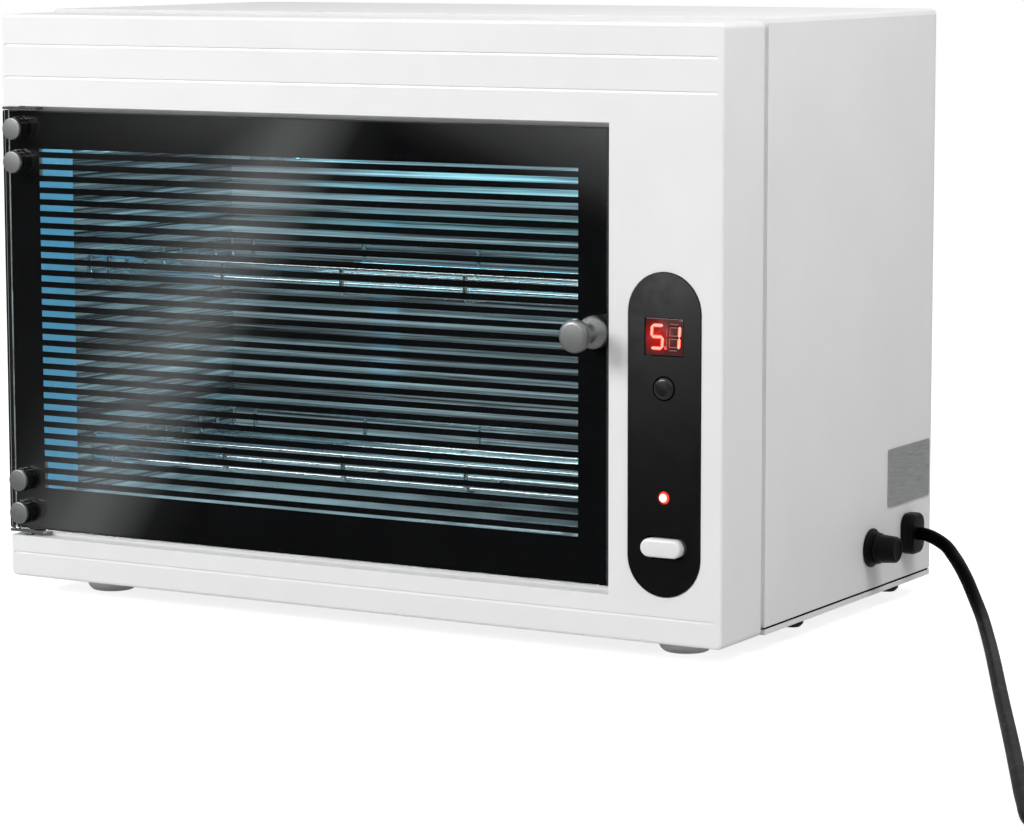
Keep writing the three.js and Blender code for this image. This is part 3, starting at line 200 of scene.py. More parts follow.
# Control panel
PANEL_MIDDLE = 343.4
PANEL_BACK = 1.8
DISPLAY_CENTRE = 130
DISPLAY_SIZE = (18.4, 16)
DISPLAY_FACE = -0.1
DISPLAY_PROUD = 0.05
DISPLAY_DEPTH = 0.5
DISPLAY_CORNER = 0.3
DISPLAY_EDGE = 0.1
DISPLAY_GLOW = (1.5, 8)
WINDOW_GRAIN = 0.003
SET_HEIGHT = 108.4
SET_DIAMETER = 10
SET_FRONT = -1.9
SET_CLEARANCE = 0.25
SET_DOME = 1.1
SET_DOME_SHARES = ((0.5, 0.109), (0.82, 0.318), (1, 1))
SET_FLANGE = 1.8
SET_FLANGE_DEPTH = 1.2
SET_EDGE = 0.5
LIGHT_HEIGHT = 62.4
LIGHT_DIAMETER = 5
LIGHT_FRONT = -1.5
LIGHT_DEPTH = 7
LIGHT_FLANGE = 0.8
LIGHT_CORE_RISE = 0.06
LIGHT_CORE_SHARE = 0.74
LIGHT_CORE_DEPTH_SHARE = 0.3
POWER_HEIGHT = 41.3
POWER_SIZE = (19.2, 7.8)
POWER_FRONT = -3.9
POWER_BACK = 7.8
POWER_EDGE = 1.3
POWER_BACK_EDGE = 0.2

# Digits of the display
SEGMENTS = {
    "a": ((0, 1), (1, 1)),
    "b": ((1, 1), (1, 0.5)),
    "c": ((1, 0.5), (1, 0)),
    "d": ((0, 0), (1, 0)),
    "e": ((0, 0.5), (0, 0)),
    "f": ((0, 1), (0, 0.5)),
    "g": ((0, 0.5), (1, 0.5)),
}
LIT = {"5": "afgcd", "1": "bc"}
DIGIT_SIZE = (5.2, 9.6)
DIGIT_STROKE = 1.7
DIGIT_CORE = 1
DIGIT_GAP = 0.05
DIGIT_LEAN = 0.06
DIGIT_PLACES = (-3.4, 4.4)
DIGIT_RISE = 0.12
DIGIT_CORE_RISE = 0.18
DARK_BARS_ON = "1"
POINT_PLACE = (0.6, -4.5)
POINT_SIZE = 1.3

# Fuse holder and its cap. The profiles are pairs of a radius and a distance outwards.
FUSE_PLACE = (147, 22)
FUSE_THREAD = 12.6
FUSE_BORE = 8.6
FUSE_LENGTH = 32
FUSE_FLOOR = 2
FUSE_COLLAR = 3.2
FUSE_COLLAR_PROFILE = ((8.8, 0), (8.8, 0.8), (8.1, 1.1), (7.9, 1.6), (7.3, 1.6), (7.3, 2.2), (6.9, 2.4),
                       (7.3, 2.6), (7.3, 3.2))
FUSE_EDGE = 0.15
FUSE_CAP_PROFILE = ((7, 0), (7, 1), (6.7, 1.5), (6.2, 1.7), (6.4, 2.4), (5.9, 8.8), (5.3, 9.5), (4.6, 9.6),
                    (4.3, 9.3), (0, 9.3))
FUSE_CAP_EDGE = 0.25
FUSE_STEM = 7.6
FUSE_STEM_LENGTH = 5

# Strain relief
GRIP_PLACE = (186, 23.3)
GRIP_SIZE = (14.5, 18.8)
GRIP_FACE = 371.3
GRIP_FRONT = 377.3
GRIP_EDGE = 1.8
GRIP_BACK_EDGE = 0.6
GRIP_CORNER_SHARE = 0.7
GRIP_NECK_SIZE = (11, 15.2)
GRIP_NECK_CORNER = 2.7
GRIP_NECK_EDGE = 0.4
GRIP_NECK_LAP = 1
GRIP_NECK_DEPTH = 14

# Feet and base screws. The profile is pairs of a radius and a depth.
FOOT_PLACES = ((34, 33), (337, 33), (34, 184), (337, 184))
FOOT_DIAMETER = 23
FOOT_TAPER = 2
FOOT_EDGE = 0.8
FOOT_HOLLOW = 1
FOOT_HOLLOW_RADII = (4, 4.6)
BASE_SCREW_PLACES = ((7, 81), (7, 181), (364, 81), (364, 181))
BASE_SCREW_PROFILE = ((0, 2.6), (1.4, 2.6), (1.8, 3.4), (3.5, 3.3), (5, 1.7), (5, 0))
BASE_SCREW_SHANK = 3.6
BASE_SCREW_LENGTH = 7
BASE_SCREW_EDGE = 0.4

# Painted shade: dark strips in the seam over the base plate
SEAM_HEIGHT = (2.25, 3.15)
SEAM_INSET = 0.35
SEAM_WIDTH = 0.5
SEAM_SPAN = (40, 211)
SEAM_EDGE = 0.05

# Plug
PLUG_NECK_LENGTH = 10
PLUG_NECK_WIDTH = 12
PLUG_NECK_DEPTH_SHARE = 0.82
PLUG_SWELL_START_SHARE = 0.6
PLUG_SWELL_LENGTH = 12
PLUG_LENGTH = 34
PLUG_WIDTH = 35
PLUG_DEPTH = 13.7
PLUG_EDGE = 0.8
PLUG_SQUARENESS = 0.55
PLUG_SECTIONS = 24
PLUG_SPOKES = 40
PIN_DIAMETER = 4
PIN_LENGTH = 19
PIN_SPACING = 18.6
PIN_ROOT = 4

# Floor and lamps of the studio, in metres and watts
FLOOR_REACH = 4
FLOOR_LEVEL = 0.6
FLOOR_LIFT = 0.8
KEY_PLACE = (-0.9, -1.5, 1.0)
KEY_TARGET = (0, -0.05, 0.12)
KEY_SIZE = (0.9, 0.7)
KEY_POWER = 24
SIDE_PLACE = (0.62, -0.12, 0.78)
SIDE_TARGET = (0.19, 0, 0.16)
SIDE_SIZE = (0.4, 0.4)
SIDE_POWER = 3.7

# What the front reflects: band, corner, panel, height, border and left. Each line runs between two
# pixels of the photograph, and its levels stand at distances in pixels to its right.
PHOTO_CENTRE = (512, 417)
REFLECTED_REACH = 400
REFLECTED_CENTRE = (350, 355)
REFLECTED_ANGLES = (9, 20)
FLAGS = (
    (((329, 139), (114, 539)), ((-62, 0), (-25, 0.06), (0, 0.53), (25, 0.95), (44, 1), (63, 0.68), (95, 0.28),
                                (114, 0.12), (139, 0.04), (187, 0.01), (234, 0.01))),
    (((664, 213), (400, 100)), ((-38, 0), (-20, 0.08), (0, 0.32), (25, 0.55), (60, 1))),
    (((615, 600), (615, 100)), ((-8, 0), (8, 1))),
    (((700, 280), (600, 320)), ((-265, 0.02), (-182, 0.045), (-145, 0.08), (-108, 0.17), (-60, 0.3),
                                (-24, 0.45), (0, 0.75), (12, 0.8))),
    (((0, 150), (600, 150)), ((-30, 0.6), (0, 0.35), (40, 0))),
    (((300, 100), (300, 600)), ((-20, 0), (20, 1), (200, 0.3), (280, 0.05))),
)
SKY_LEVELS = ((0, 0.55), (0.38, 0.5), (0.48, 0.3), (0.56, 0.4), (0.66, 0.85), (1, 1))
MATT_LEVEL = 0.39


def at(x, y, z):
    return ORIGIN + Vector((x, y, z)) * MM


def linked(name, data):
    piece = bpy.data.objects.new(name, data)
    bpy.context.scene.collection.objects.link(piece)
    return piece


# Camera


def sight():
    """The camera's way ahead and its level way to the right."""
    yaw, pitch = CAMERA_YAW, CAMERA_PITCH
    ahead = Vector((-math.sin(yaw) * math.cos(pitch), math.cos(yaw) * math.cos(pitch), -math.sin(pitch)))
    return ahead, Vector((math.cos(yaw), math.sin(yaw), 0))


def camera():
    data = bpy.data.cameras.new("camera")
    data.sensor_width = SENSOR
    data.lens = FOCAL_PIXELS * SENSOR / PHOTO_WIDTH
    ahead, level = sight()
    above = level.cross(ahead)
    right = level * math.cos(CAMERA_ROLL) + above * math.sin(CAMERA_ROLL)
    up = above * math.cos(CAMERA_ROLL) - level * math.sin(CAMERA_ROLL)
    axes = Matrix((right, up, -ahead)).transposed()
    eye = linked("camera", data)
    eye.matrix_world = Matrix.Translation(at(*CAMERA_PLACE)) @ axes.to_4x4()
    bpy.context.scene.camera = eye


# Lead


def coil_route():
    """The coil winds inwards on the floor, climbs a layer where it reverses and winds out on top."""
    x, y = COIL_CENTRE
    outer = COIL_MIDDLE_RADIUS + COIL_PITCH * (COIL_IN_TURNS + COIL_REVERSE) / 2
    route = [(x - CORD_DIAMETER, y - outer, COIL_LOW)]
    turns = COIL_IN_TURNS + 2 * COIL_REVERSE + COIL_OUT_TURNS
    for i in range(round(turns * COIL_STEPS) + 1):
        turn = i / COIL_STEPS
        inward = min(turn, COIL_IN_TURNS + COIL_REVERSE)
        outward = max(turn - COIL_IN_TURNS - COIL_REVERSE, 0)
        radius = outer - COIL_PITCH * (inward - outward)
        climb = min(max(2 * (turn - COIL_IN_TURNS), 0), 1)
        rise = climb * climb * (3 - 2 * climb) * COIL_PITCH
        angle = FULL_TURN * turn - QUARTER
        route.append((x + radius * math.cos(angle), y + radius * math.sin(angle), COIL_LOW + rise))
    return route


def tail_route(start, heading):
    """From the coil's last turn the lead comes down to rest and bends round to the plug."""
    bend = TAIL_TURN / TAIL_LENGTH
    half = TAIL_LENGTH / 2
    places = [
        (CORD_DIAMETER, start.z),
        (half / 2 + CORD_DIAMETER / 2, (start.z + CORD_REST) / 2),
        (half, CORD_REST),
        ((TAIL_LENGTH + half) / 2 - CORD_DIAMETER / 2, (PLUG_LEVEL + CORD_REST) / 2),
        (TAIL_LENGTH - CORD_DIAMETER, PLUG_LEVEL),
        (TAIL_LENGTH, PLUG_LEVEL),
    ]
    route = []
    for along, height in places:
        forward = math.sin(bend * along) / bend
        aside = (1 - math.cos(bend * along)) / bend
        route.append((
            start.x + forward * math.cos(heading) - aside * math.sin(heading),
            start.y + forward * math.sin(heading) + aside * math.cos(heading),
            height,
        ))
    return route


def lead_route():
    coil = coil_route()
    x, y, z = coil[0]
    approach = [
        (x - 2 * CORD_DIAMETER, y + CORD_DIAMETER / 4, (z + CORD_REST) / 2),
        (x - CORD_DIAMETER, y, z),
    ]
    way = Vector(coil[-1]) - Vector(coil[-2])
    way.z = 0
    way.normalize()
    heading = math.atan2(way.y, way.x)
    leaving = Vector(coil[-1]) + way * CORD_DIAMETER
    start = leaving + way * GAP
    tail = tail_route(start, heading)
    return CORD_ROUTE + approach + coil + [tuple(leaving)] + tail, heading + TAIL_TURN


def spline_ways(points):
    """Tangents of a centripetal curve through the points, as (handle before, handle after)."""
    last = len(points) - 1
    ways = []
    for i, point in enumerate(points):
        before = points[max(i - 1, 0)]
        after = points[min(i + 1, last)]
        step_in = math.sqrt((point - before).length)
        step_out = math.sqrt((after - point).length)
        if i == 0:
            way = (after - point) / step_out
        elif i == last:
            way = (point - before) / step_in
        else:
            way = (point - before) / step_in - (after - before) / (step_in + step_out)
            way += (after - point) / step_out
        ways.append((way * step_in / 3, way * step_out / 3))
    return ways


def mains_lead(route):
    curve = bpy.data.curves.new("mains_lead", "CURVE")
    curve.dimensions = "3D"
    curve.bevel_depth = CORD_DIAMETER / 2 * MM
    curve.bevel_resolution = 6
    curve.resolution_u = 6
    curve.use_fill_caps = True
    spline = curve.splines.new("BEZIER")
    points = [at(*place) for place in route]
    spline.bezier_points.add(len(points) - 1)
    for bezier, point, (before, after) in zip(spline.bezier_points, points, spline_ways(points)):
        bezier.co = point
        bezier.handle_left_type = "FREE"
        bezier.handle_right_type = "FREE"
        bezier.handle_left = point - before
        bezier.handle_right = point + after
    return linked("mains_lead", curve)


# Mesh helpers


def smoothed(name, mesh, working):
    working.to_mesh(mesh)
    working.free()
    mesh.shade_smooth()
    mesh.set_sharp_from_angle(angle=math.radians(SHARP_ANGLE))
    return linked(name, mesh)


def mesh_piece(name, corners, faces):
    mesh = bpy.data.meshes.new(name)
    mesh.from_pydata([at(*corner) for corner in corners], [], faces)
    working = bmesh.new()
    working.from_mesh(mesh)
    bmesh.ops.recalc_face_normals(working, faces=working.faces)
    return smoothed(name, mesh, working)


def placed(axis, centre, spoke, along):
    """A point beside an axis: (x, z) for the y axis, (y, z) for the x axis, (x, y) for the z axis."""
    u, v = centre[0] + spoke[0], centre[1] + spoke[1]
    return {"x": (along, u, v), "y": (u, along, v), "z": (u, v, along)}[axis]


def softened(profile, radius, steps=3):
    """Rounds the inner corners of a line of points."""
    points = [Vector(point) for point in profile]
    line = [points[0]]
    for before, corner, after in zip(points, points[1:], points[2:]):
        into = before - corner
        out = after - corner
        reach = min(radius, into.length / 2.2, out.length / 2.2)
        start = corner + into.normalized() * reach
        end = corner + out.normalized() * reach
        for k in range(steps + 1):
            t = k / steps
            line.append(start * (1 - t) ** 2 + corner * 2 * t * (1 - t) + end * t * t)
    line.append(points[-1])
    return [tuple(point) for point in line]


def lathe(name, profile, axis, centre, segments=64):
    """A profile of (radius, place) pairs turned round an axis."""
    corners, faces, rings = [], [], []
    for radius, along in profile:
        count = segments if radius > 0 else 1
        rings.append([len(corners) + k for k in range(count)])
        for k in range(count):
            angle = FULL_TURN * k / segments
            corners.append(placed(axis, centre, (radius * math.cos(angle), radius * math.sin(angle)), along))
    for low, high in zip(rings, rings[1:]):
        for k in range(segments):
            after = (k + 1) % segments
            if len(low) == 1 and len(high) == 1:
                continue
            if len(low) == 1:
                faces.append((low[0], high[k], high[after]))
            elif len(high) == 1:
                faces.append((low[k], high[0], low[after]))
            else:
                faces.append((low[k], high[k], high[after], low[after]))
    return mesh_piece(name, corners, faces)


def rounded_box(sides, radius, steps=8):
    """Gives outlines of a rectangle with round corners, larger by a grow."""
    left, right, low, high = sides

    def outline(grow):
        round_radius = max(radius + grow, SMALLEST_RADIUS)
        centres = (
            (right - radius, high - radius),
            (left + radius, high - radius),
            (left + radius, low + radius),
            (right - radius, low + radius),
        )
        points = []
        for corner, (u, v) in enumerate(centres):
            for k in range(steps + 1):
                angle = QUARTER * (corner + k / steps)
                points.append((u + round_radius * math.cos(angle), v + round_radius * math.sin(angle)))
        return points

    return outline


def slab(name, outline, axis, span, bevel, steps=4, back_bevel=None):
    """An outline becomes a plate along an axis, with its edges rounded."""
    front, back = span
    way = math.copysign(1, back - front)
    rear = bevel if back_bevel is None else back_bevel
    levels = []
    for k in range(steps + 1):
        angle = QUARTER * k / steps
        levels.append((-bevel * (1 - math.sin(angle)), front + way * bevel * (1 - math.cos(angle))))
    for k in range(steps + 1):
        angle = QUARTER * (1 - k / steps)
        levels.append((-rear * (1 - math.sin(angle)), back - way * rear * (1 - math.cos(angle))))
    corners, faces, rings = [], [], []
    for grow, along in levels:
        ring = outline(grow)
        rings.append([len(corners) + k for k in range(len(ring))])
        corners += [placed(axis, (0, 0), point, along) for point in ring]
    count = len(rings[0])
    for low, high in zip(rings, rings[1:]):
        faces += [(low[k], high[k], high[(k + 1) % count], low[(k + 1) % count]) for k in range(count)]
    faces += [rings[0], rings[-1]]
    return mesh_piece(name, corners, faces)


def prism(name, outline, axis, span):
    """A flat outline drawn out along an axis."""
    count = len(outline)
    corners = [placed(axis, (0, 0), point, along) for along in span for point in outline]
    faces = [tuple(range(count)), tuple(range(count, 2 * count))]
    faces += [(k, (k + 1) % count, (k + 1) % count + count, k + count) for k in range(count)]
    return mesh_piece(name, corners, faces)


def rectangle(left, right, low, high):
    return [(left, low), (right, low), (right, high), (left, high)]


def joined(name, pieces):
    """Several meshes become one piece, under the given name."""
    working = bmesh.new()
    for piece in pieces:
        working.from_mesh(piece.data)
        bpy.data.objects.remove(piece)
    return smoothed(name, bpy.data.meshes.new(name), working)


def turned_row(names, profile, axis, places, dressing, segments=64):
    """The same turned piece at each place, numbered from 1."""
    piece_name, replaced = names
    for i, place in enumerate(places, 1):
        dress(lathe(f"{piece_name}_{i}", profile, axis, place, segments), *dressing, f"{replaced}_{i}")


def dress(piece, body, look, slot, *replaced):
    piece.data.materials.clear()
    piece.data.materials.append(looks[look])
    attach(piece, body)
    if replaced:
        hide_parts(*replaced)
    return piece


# Material helpers


def linear(level):
    share = level / 255
    return share / 12.92 if share <= 0.04045 else ((share + 0.055) / 1.055) ** 2.4


def colour(red, green, blue):
    return (linear(red), linear(green), linear(blue), 1)


def shader_input(material, name):
    return material.node_tree.nodes["Principled BSDF"].inputs[name]


def plain(name, base, roughness, **settings):
    material = bpy.data.materials.new(name)
    material.use_nodes = True
    values = {"Base Color": colour(*base), "Roughness": roughness, **settings}
    for key, value in values.items():
        shader_input(material, key.replace("_", " ")).default_value = value
    return material


def node(material, kind, inputs=None, **settings):
    made = material.node_tree.nodes.new(kind)
    for key, value in settings.items():
        setattr(made, key, value)
    for key, value in (inputs or {}).items():
        made.inputs[key].default_value = value
    return made


def join(material, source, target):
    material.node_tree.links.new(source, target)


def grain(material, scale, stretch=(1, 1, 1), detail=2.0, roughness=0.5):
    """A noise over the piece's own place, finer where the scale is larger."""
    place = node(material, "ShaderNodeTexCoord")
    mapping = node(material, "ShaderNodeMapping", {"Scale": stretch})
    noise = node(material, "ShaderNodeTexNoise", {"Scale": scale, "Detail": detail, "Roughness": roughness})
    join(material, place.outputs["Object"], mapping.inputs["Vector"])
    join(material, mapping.outputs["Vector"], noise.inputs["Vector"])
    return noise.outputs["Fac"]


def ramped(material, factor, stops):
    """A colour that goes through the stops at places of a factor."""
    ramp = node(material, "ShaderNodeValToRGB")
    elements = ramp.color_ramp.elements
    while len(elements) > 1:
        elements.remove(elements[-1])
    elements[0].position, elements[0].color = stops[0]
    for position, tone in stops[1:]:
        elements.new(position).color = tone
    join(material, factor, ramp.inputs["Fac"])
    return ramp.outputs["Color"]


def tinted(material, factor, first, second, low=0.3, high=0.7, socket="Base Color"):
    """A colour goes from one tone to the other with a factor."""
    tone = ramped(material, factor, ((low, colour(*first)), (high, colour(*second))))
    join(material, tone, shader_input(material, socket))


def spread(material, value, start, end, low=0, high=1):
    """A value between start and end becomes one between low and high."""
    values = {"From Min": start, "From Max": end, "To Min": low, "To Max": high}
    made = node(material, "ShaderNodeMapRange", values)
    join(material, value, made.inputs["Value"])
    return made.outputs["Result"]


def ranged(material, factor, low, high, socket="Roughness"):
    join(material, spread(material, factor, 0.3, 0.7, low, high), shader_input(material, socket))


def larger(material, first, second):
    made = node(material, "ShaderNodeMath", operation="MAXIMUM")
    join(material, first, made.inputs[0])
    join(material, second, made.inputs[1])
    return made.outputs[0]


def bumped(material, height, distance, round_edges=0):
    bump = node(material, "ShaderNodeBump", {"Distance": distance * MM, "Strength": 1})
    join(material, height, bump.inputs["Height"])
    if round_edges:
        edges = node(material, "ShaderNodeBevel", {"Radius": round_edges * MM}, samples=4)
        join(material, edges.outputs["Normal"], bump.inputs["Normal"])
    join(material, bump.outputs["Normal"], shader_input(material, "Normal"))


# Materials


def moulded(name, dark, light, roughness, fine, pebble, round_edges=0, gloss=0.5):
    """Moulded plastic or paint: two close tones, uneven gloss and a fine pebble."""
    material = plain(name, light, roughness, Specular_IOR_Level=gloss)
    tinted(material, grain(material, 22, detail=4), dark, light)
    ranged(material, grain(material, 90, detail=3), roughness - 0.05, roughness + 0.05)
    bumped(material, grain(material, fine, detail=2), pebble, round_edges)
    return material


def brushed(name, dark, light, roughness, stretch, scale, depth):
    """Metal with fine lines along one way."""
    material = plain(name, light, roughness, Metallic=1)
    lines = grain(material, scale, stretch=stretch, detail=3)
    tinted(material, lines, dark, light)
    ranged(material, lines, roughness - 0.06, roughness + 0.06)
    bumped(material, lines, depth)
    return material


def mirror(name, dark, light, metallic, painted_glow):
    """Bright sheet with lines rolled along x. Part of it scatters, so that the lamp lights it. Its pink and
    cyan streaks are painted reflections, and its glow along the lines is painted lamp light.
    """
    material = plain(name, light, 0.08, Metallic=metallic, Emission_Strength=painted_glow)
    streaks = grain(material, 300, stretch=(0.01, 0.01, 1), detail=4, roughness=0.75)
    tinted(material, streaks, dark, light, 0.46, 0.6)
    # Painted lamp light: a glow in pale cyan streaks along the rolled lines
    painted_streaks = grain(material, 420, stretch=(0.006, 0.006, 1), detail=4, roughness=0.8)
    tinted(material, painted_streaks, (14, 12, 13), (188, 220, 230), 0.44, 0.66, "Emission Color")
    ranged(material, grain(material, 160, stretch=(0.02, 0.02, 1), detail=3), 0.03, 0.12)
    bumped(material, grain(material, 520, stretch=(0.01, 0.01, 1), detail=3), SHEET_GRAIN)
    return material


def pane():
    """Clear glass. Light passes it as it passes a real pane, without the caustics of a thick body."""
    material = plain("tinted_glass", (226, 231, 232), 0.01, IOR=1.52, Transmission_Weight=1)
    ranged(material, grain(material, 30, detail=4), 0.0, 0.015)
    path = node(material, "ShaderNodeLightPath")
    kept = node(material, "ShaderNodeMath", {0: 1}, operation="SUBTRACT")
    passing = larger(material, path.outputs["Is Shadow Ray"], path.outputs["Is Diffuse Ray"])
    join(material, passing, kept.inputs[1])
    join(material, kept.outputs[0], shader_input(material, "Alpha"))
    return material


def glow(name, base, light, strength, roughness=0.25):
    """A lit piece, a little uneven over its face."""
    material = plain(name, base, roughness, Emission_Color=colour(*light))
    ranged(material, grain(material, 400, detail=2), strength * 0.9, strength * 1.1, "Emission Strength")
    return material


def lit_window():
    """Dark red glass of the display, with a glow that fades away from the first digit."""
    material = plain("window_red", (66, 20, 18), 0.12, Emission_Color=colour(214, 30, 22))
    tinted(material, grain(material, 500, detail=3), (48, 14, 13), (66, 20, 18))
    bumped(material, grain(material, 500, detail=2), WINDOW_GRAIN)
    middle = at(PANEL_MIDDLE + DIGIT_PLACES[0], DISPLAY_FACE, DISPLAY_CENTRE)
    place = node(material, "ShaderNodeNewGeometry")
    apart = node(material, "ShaderNodeVectorMath", {1: middle}, operation="DISTANCE")
    join(material, place.outputs["Position"], apart.inputs[0])
    near, far = DISPLAY_GLOW
    fade = spread(material, apart.outputs["Value"], near * MM, far * MM, 0.7, 0.03)
    join(material, fade, shader_input(material, "Emission Strength"))
    return material


# Each row: two tones, roughness, scale and depth of the grain, rounding of the edges, gloss
MOULDED = {
    "white_moulding": ((234, 234, 234), (238, 238, 238), 0.36, 1100, 0.008, 0.35),
    "white_paint": ((232, 232, 232), (236, 236, 236), 0.42, 1500, 0.012, 0.5),
    "button_white": ((230, 231, 230), (238, 238, 237), 0.3, 1300, 0.008),
    # This black is the door's print, and also paints the shade in the seam over the base plate
    "print_black": ((17, 17, 18), (21, 21, 22), 0.5, 900, 0.004, 0, 0),
    "panel_black": ((17, 17, 18), (20, 20, 21), 0.07, 700, 0.001, 0, 1),
    "black_plastic": ((5, 5, 6), (8, 8, 9), 0.36, 1300, 0.012, 0, 0.12),
    "lead_black": ((1, 1, 1), (3, 3, 3), 0.3, 1600, 0.006, 0, 0.02),
    "washer_rubber": ((8, 8, 9), (13, 13, 14), 0.2, 1200, 0.01),
    "button_black": ((14, 14, 15), (20, 20, 21), 0.2, 900, 0.004),
    "foot_rubber": ((244, 244, 244), (250, 250, 250), 0.5, 900, 0.02),
    "grey_nylon": ((176, 176, 174), (190, 190, 188), 0.55, 1200, 0.02),
    "board_green": ((22, 72, 42), (40, 104, 62), 0.4, 600, 0.05),
    "socket_white": ((214, 215, 214), (226, 227, 226), 0.45, 1100, 0.015),
    "fuse_glass": ((190, 200, 200), (206, 214, 214), 0.1, 600, 0.004),
    "digit_dark": ((148, 96, 90), (170, 118, 110), 0.35, 900, 0.004),
}

# Each row: two tones, roughness, stretch, scale and depth of the lines
BRUSHED = {
    # The silver of the line behind the glass's left edge, a painted highlight of the polished edge
    "edge_silver": ((176, 178, 180), (206, 208, 209), 0.3, (1, 1, 0.05), 1500, 0.002),
    "polished_steel": ((150, 152, 154), (180, 182, 184), 0.16, (1, 1, 6), 900, 0.002),
    "turned_steel": ((132, 133, 133), (142, 143, 143), 0.42, (1, 0.2, 1), 2600, 0.0005),
    "tray_steel": ((200, 206, 208), (226, 231, 232), 0.1, (1, 1, 1), 900, 0.002),
    "magnet_steel": ((150, 152, 155), (196, 198, 200), 0.3, (1, 1, 1), 300, 0.004),
    "lamp_metal": ((150, 153, 156), (200, 203, 205), 0.28, (6, 1, 1), 220, 0.004),
    "ballast_steel": ((120, 122, 124), (158, 160, 162), 0.42, (1, 6, 1), 160, 0.01),
    "silver_foil": ((166, 167, 168), (206, 207, 208), 0.4, (1, 0.03, 1), 3200, 0.001),
    "pin_brass": ((176, 148, 84), (205, 180, 112), 0.28, (1, 1, 1), 300, 0.004),
}

# Each row: two tones, which paint reflected streaks, how metallic, and how strong its painted glow of lamp
# light is
SHEETS = {
    "mirror_sheet": ((104, 90, 92), (236, 252, 250), 0.5, 0.52),
    # The left wall's sheet is a darker copy of the mirror sheet with less glow: painted shade
    "side_sheet": ((70, 70, 72), (226, 244, 250), 0.6, 0.25),
}

# Each row: tone, light, strength, roughness
GLOWING = {
    "red_lens": ((190, 30, 24), (255, 60, 44), 1.4),
    "lamp_glow": ((200, 225, 240), (140, 212, 232), 10, 0.1),
    "digit_lit": ((200, 60, 50), (255, 74, 56), 0.9),
    # This blue glow is painted lamp light on the opening's left wall, which is no lamp
    "lit_white": ((120, 176, 200), (84, 156, 196), 0.62),
    "light_core": ((210, 190, 182), (255, 222, 206), 0.95),
    "digit_core": ((200, 120, 110), (255, 176, 150), 0.95),
}

looks = {"glass_tint": pane(), "window_red": lit_window()}
for make, rows in ((moulded, MOULDED), (brushed, BRUSHED), (mirror, SHEETS), (glow, GLOWING)):
    looks.update({name: make(name, *row) for name, row in rows.items()})

FINISHED_NODES = (
    ("white_moulding", "front_bezel"),
    ("white_paint", "outer_shell", "base_plate"),
    ("side_sheet", "chamber_left"),
    ("mirror_sheet", "chamber_right", "chamber_top", "chamber_floor", "chamber_back"),
    ("socket_white", "lamp_socket_left", "lamp_socket_right"),
    ("ballast_steel", "ballast"),
    ("polished_steel", "hinge_clamp_top", "hinge_clamp_bottom"),
    ("grey_nylon", "hinge_bushing_top", "hinge_bushing_bottom"),
    ("washer_rubber", "hinge_washer_1", "hinge_washer_2", "hinge_washer_3", "hinge_washer_4"),
    ("turned_steel", "knob_screw"),
    ("magnet_steel", "door_magnet"),
    ("panel_black", "control_panel"),
    ("black_plastic", "display_module", "power_switch", "fuse_nut", "cord_tie"),
    ("board_green", "control_board"),
    ("fuse_glass", "fuse_link"),
    ("silver_foil", "rating_plate"),
)


def finish_nodes():
    for look, *names in FINISHED_NODES:
        for name in names:
            mesh = nodes[name].data
            mesh.materials.clear()
            mesh.materials.append(looks[look])


# Door


def door_pane():
    outline = rounded_box(GLASS, GLASS_CORNER, 4)
    glass = slab("glass_pane", outline, "y", (GLASS_FRONT, GLASS_BACK), GLASS_CHAMFER, 1)
    dress(glass, "door", "glass_tint", "tinted_glass", "door_glass")


def door_print():
    """The black print behind the glass: a border and bars, with clear stripes between them."""
    left, right, low, high = WINDOW
    outer_left, outer_low = GLASS[0] + PRINT_MARGIN, GLASS[2] + PRINT_MARGIN
    outer_right, outer_high = GLASS[1] - PRINT_MARGIN, GLASS[3] - PRINT_MARGIN
    line_left, line_right = EDGE_HIGHLIGHT
    pitch = (high - low) / STRIPES
    bars = [low + pitch * (i + 1 / 2) for i in range(STRIPES)]
    sides = (
        (line_right, outer_right, outer_low, low),
        (line_right, outer_right, high, outer_high),
        (line_right, left, low, high),
        (right, outer_right, low, high),
        (outer_left, line_left, outer_low, outer_high),
        *((left, right, middle - pitch / 4, middle + pitch / 4) for middle in bars),
    )
    plates = [print_plate(f"print_{i}", side) for i, side in enumerate(sides)]
    dress(joined("glass_print", plates), "door", "print_black", "panel_black")
    # A silver line behind the glass's left edge: a painted highlight of the polished edge
    line = print_plate("glass_edge_highlight", (line_left, line_right, outer_low, outer_high))
    dress(line, "door", "edge_silver", "polished_steel")


def print_plate(name, side):
    front = GLASS_BACK + PRINT_GAP
    outline = rounded_box(side, PRINT_CORNER, 1)
    return slab(name, outline, "y", (front, front + PRINT_THICKNESS), PRINT_BEVEL, 1)


def grooves():
    """A sloped strip lies in each groove, so that its lower side catches the light."""
    for i, height in enumerate(GROOVE_HEIGHTS, 1):
        low, high = height - GROOVE_WIDTH / 2, height + GROOVE_WIDTH / 2
        section = ((GROOVE_LIP, low), (GROOVE_DEPTH, low), (GROOVE_DEPTH, high), (GROOVE_SHADE, high))
        strip = prism(f"groove_slope_{i}", section, "x", GROOVE_ENDS)
        dress(strip, "cabinet", "white_moulding", "white_moulding")


def hinge_screws():
    head, shank = SCREW_HEAD / 2, SCREW_SHANK / 2
    profile = softened([
        (0, SCREW_FRONT),
        (head, SCREW_FRONT),
        (head, SCREW_BACK),
        (shank, SCREW_BACK),
        (shank, SCREW_TAIL),
        (0, SCREW_TAIL),
    ], SCREW_EDGE)
    places = [(SCREW_X, height) for height in SCREW_HEIGHTS]
    dressing = ("door", "turned_steel", "turned_steel")
    turned_row(("hinge_cap", "hinge_screw"), profile, "y", places, dressing)


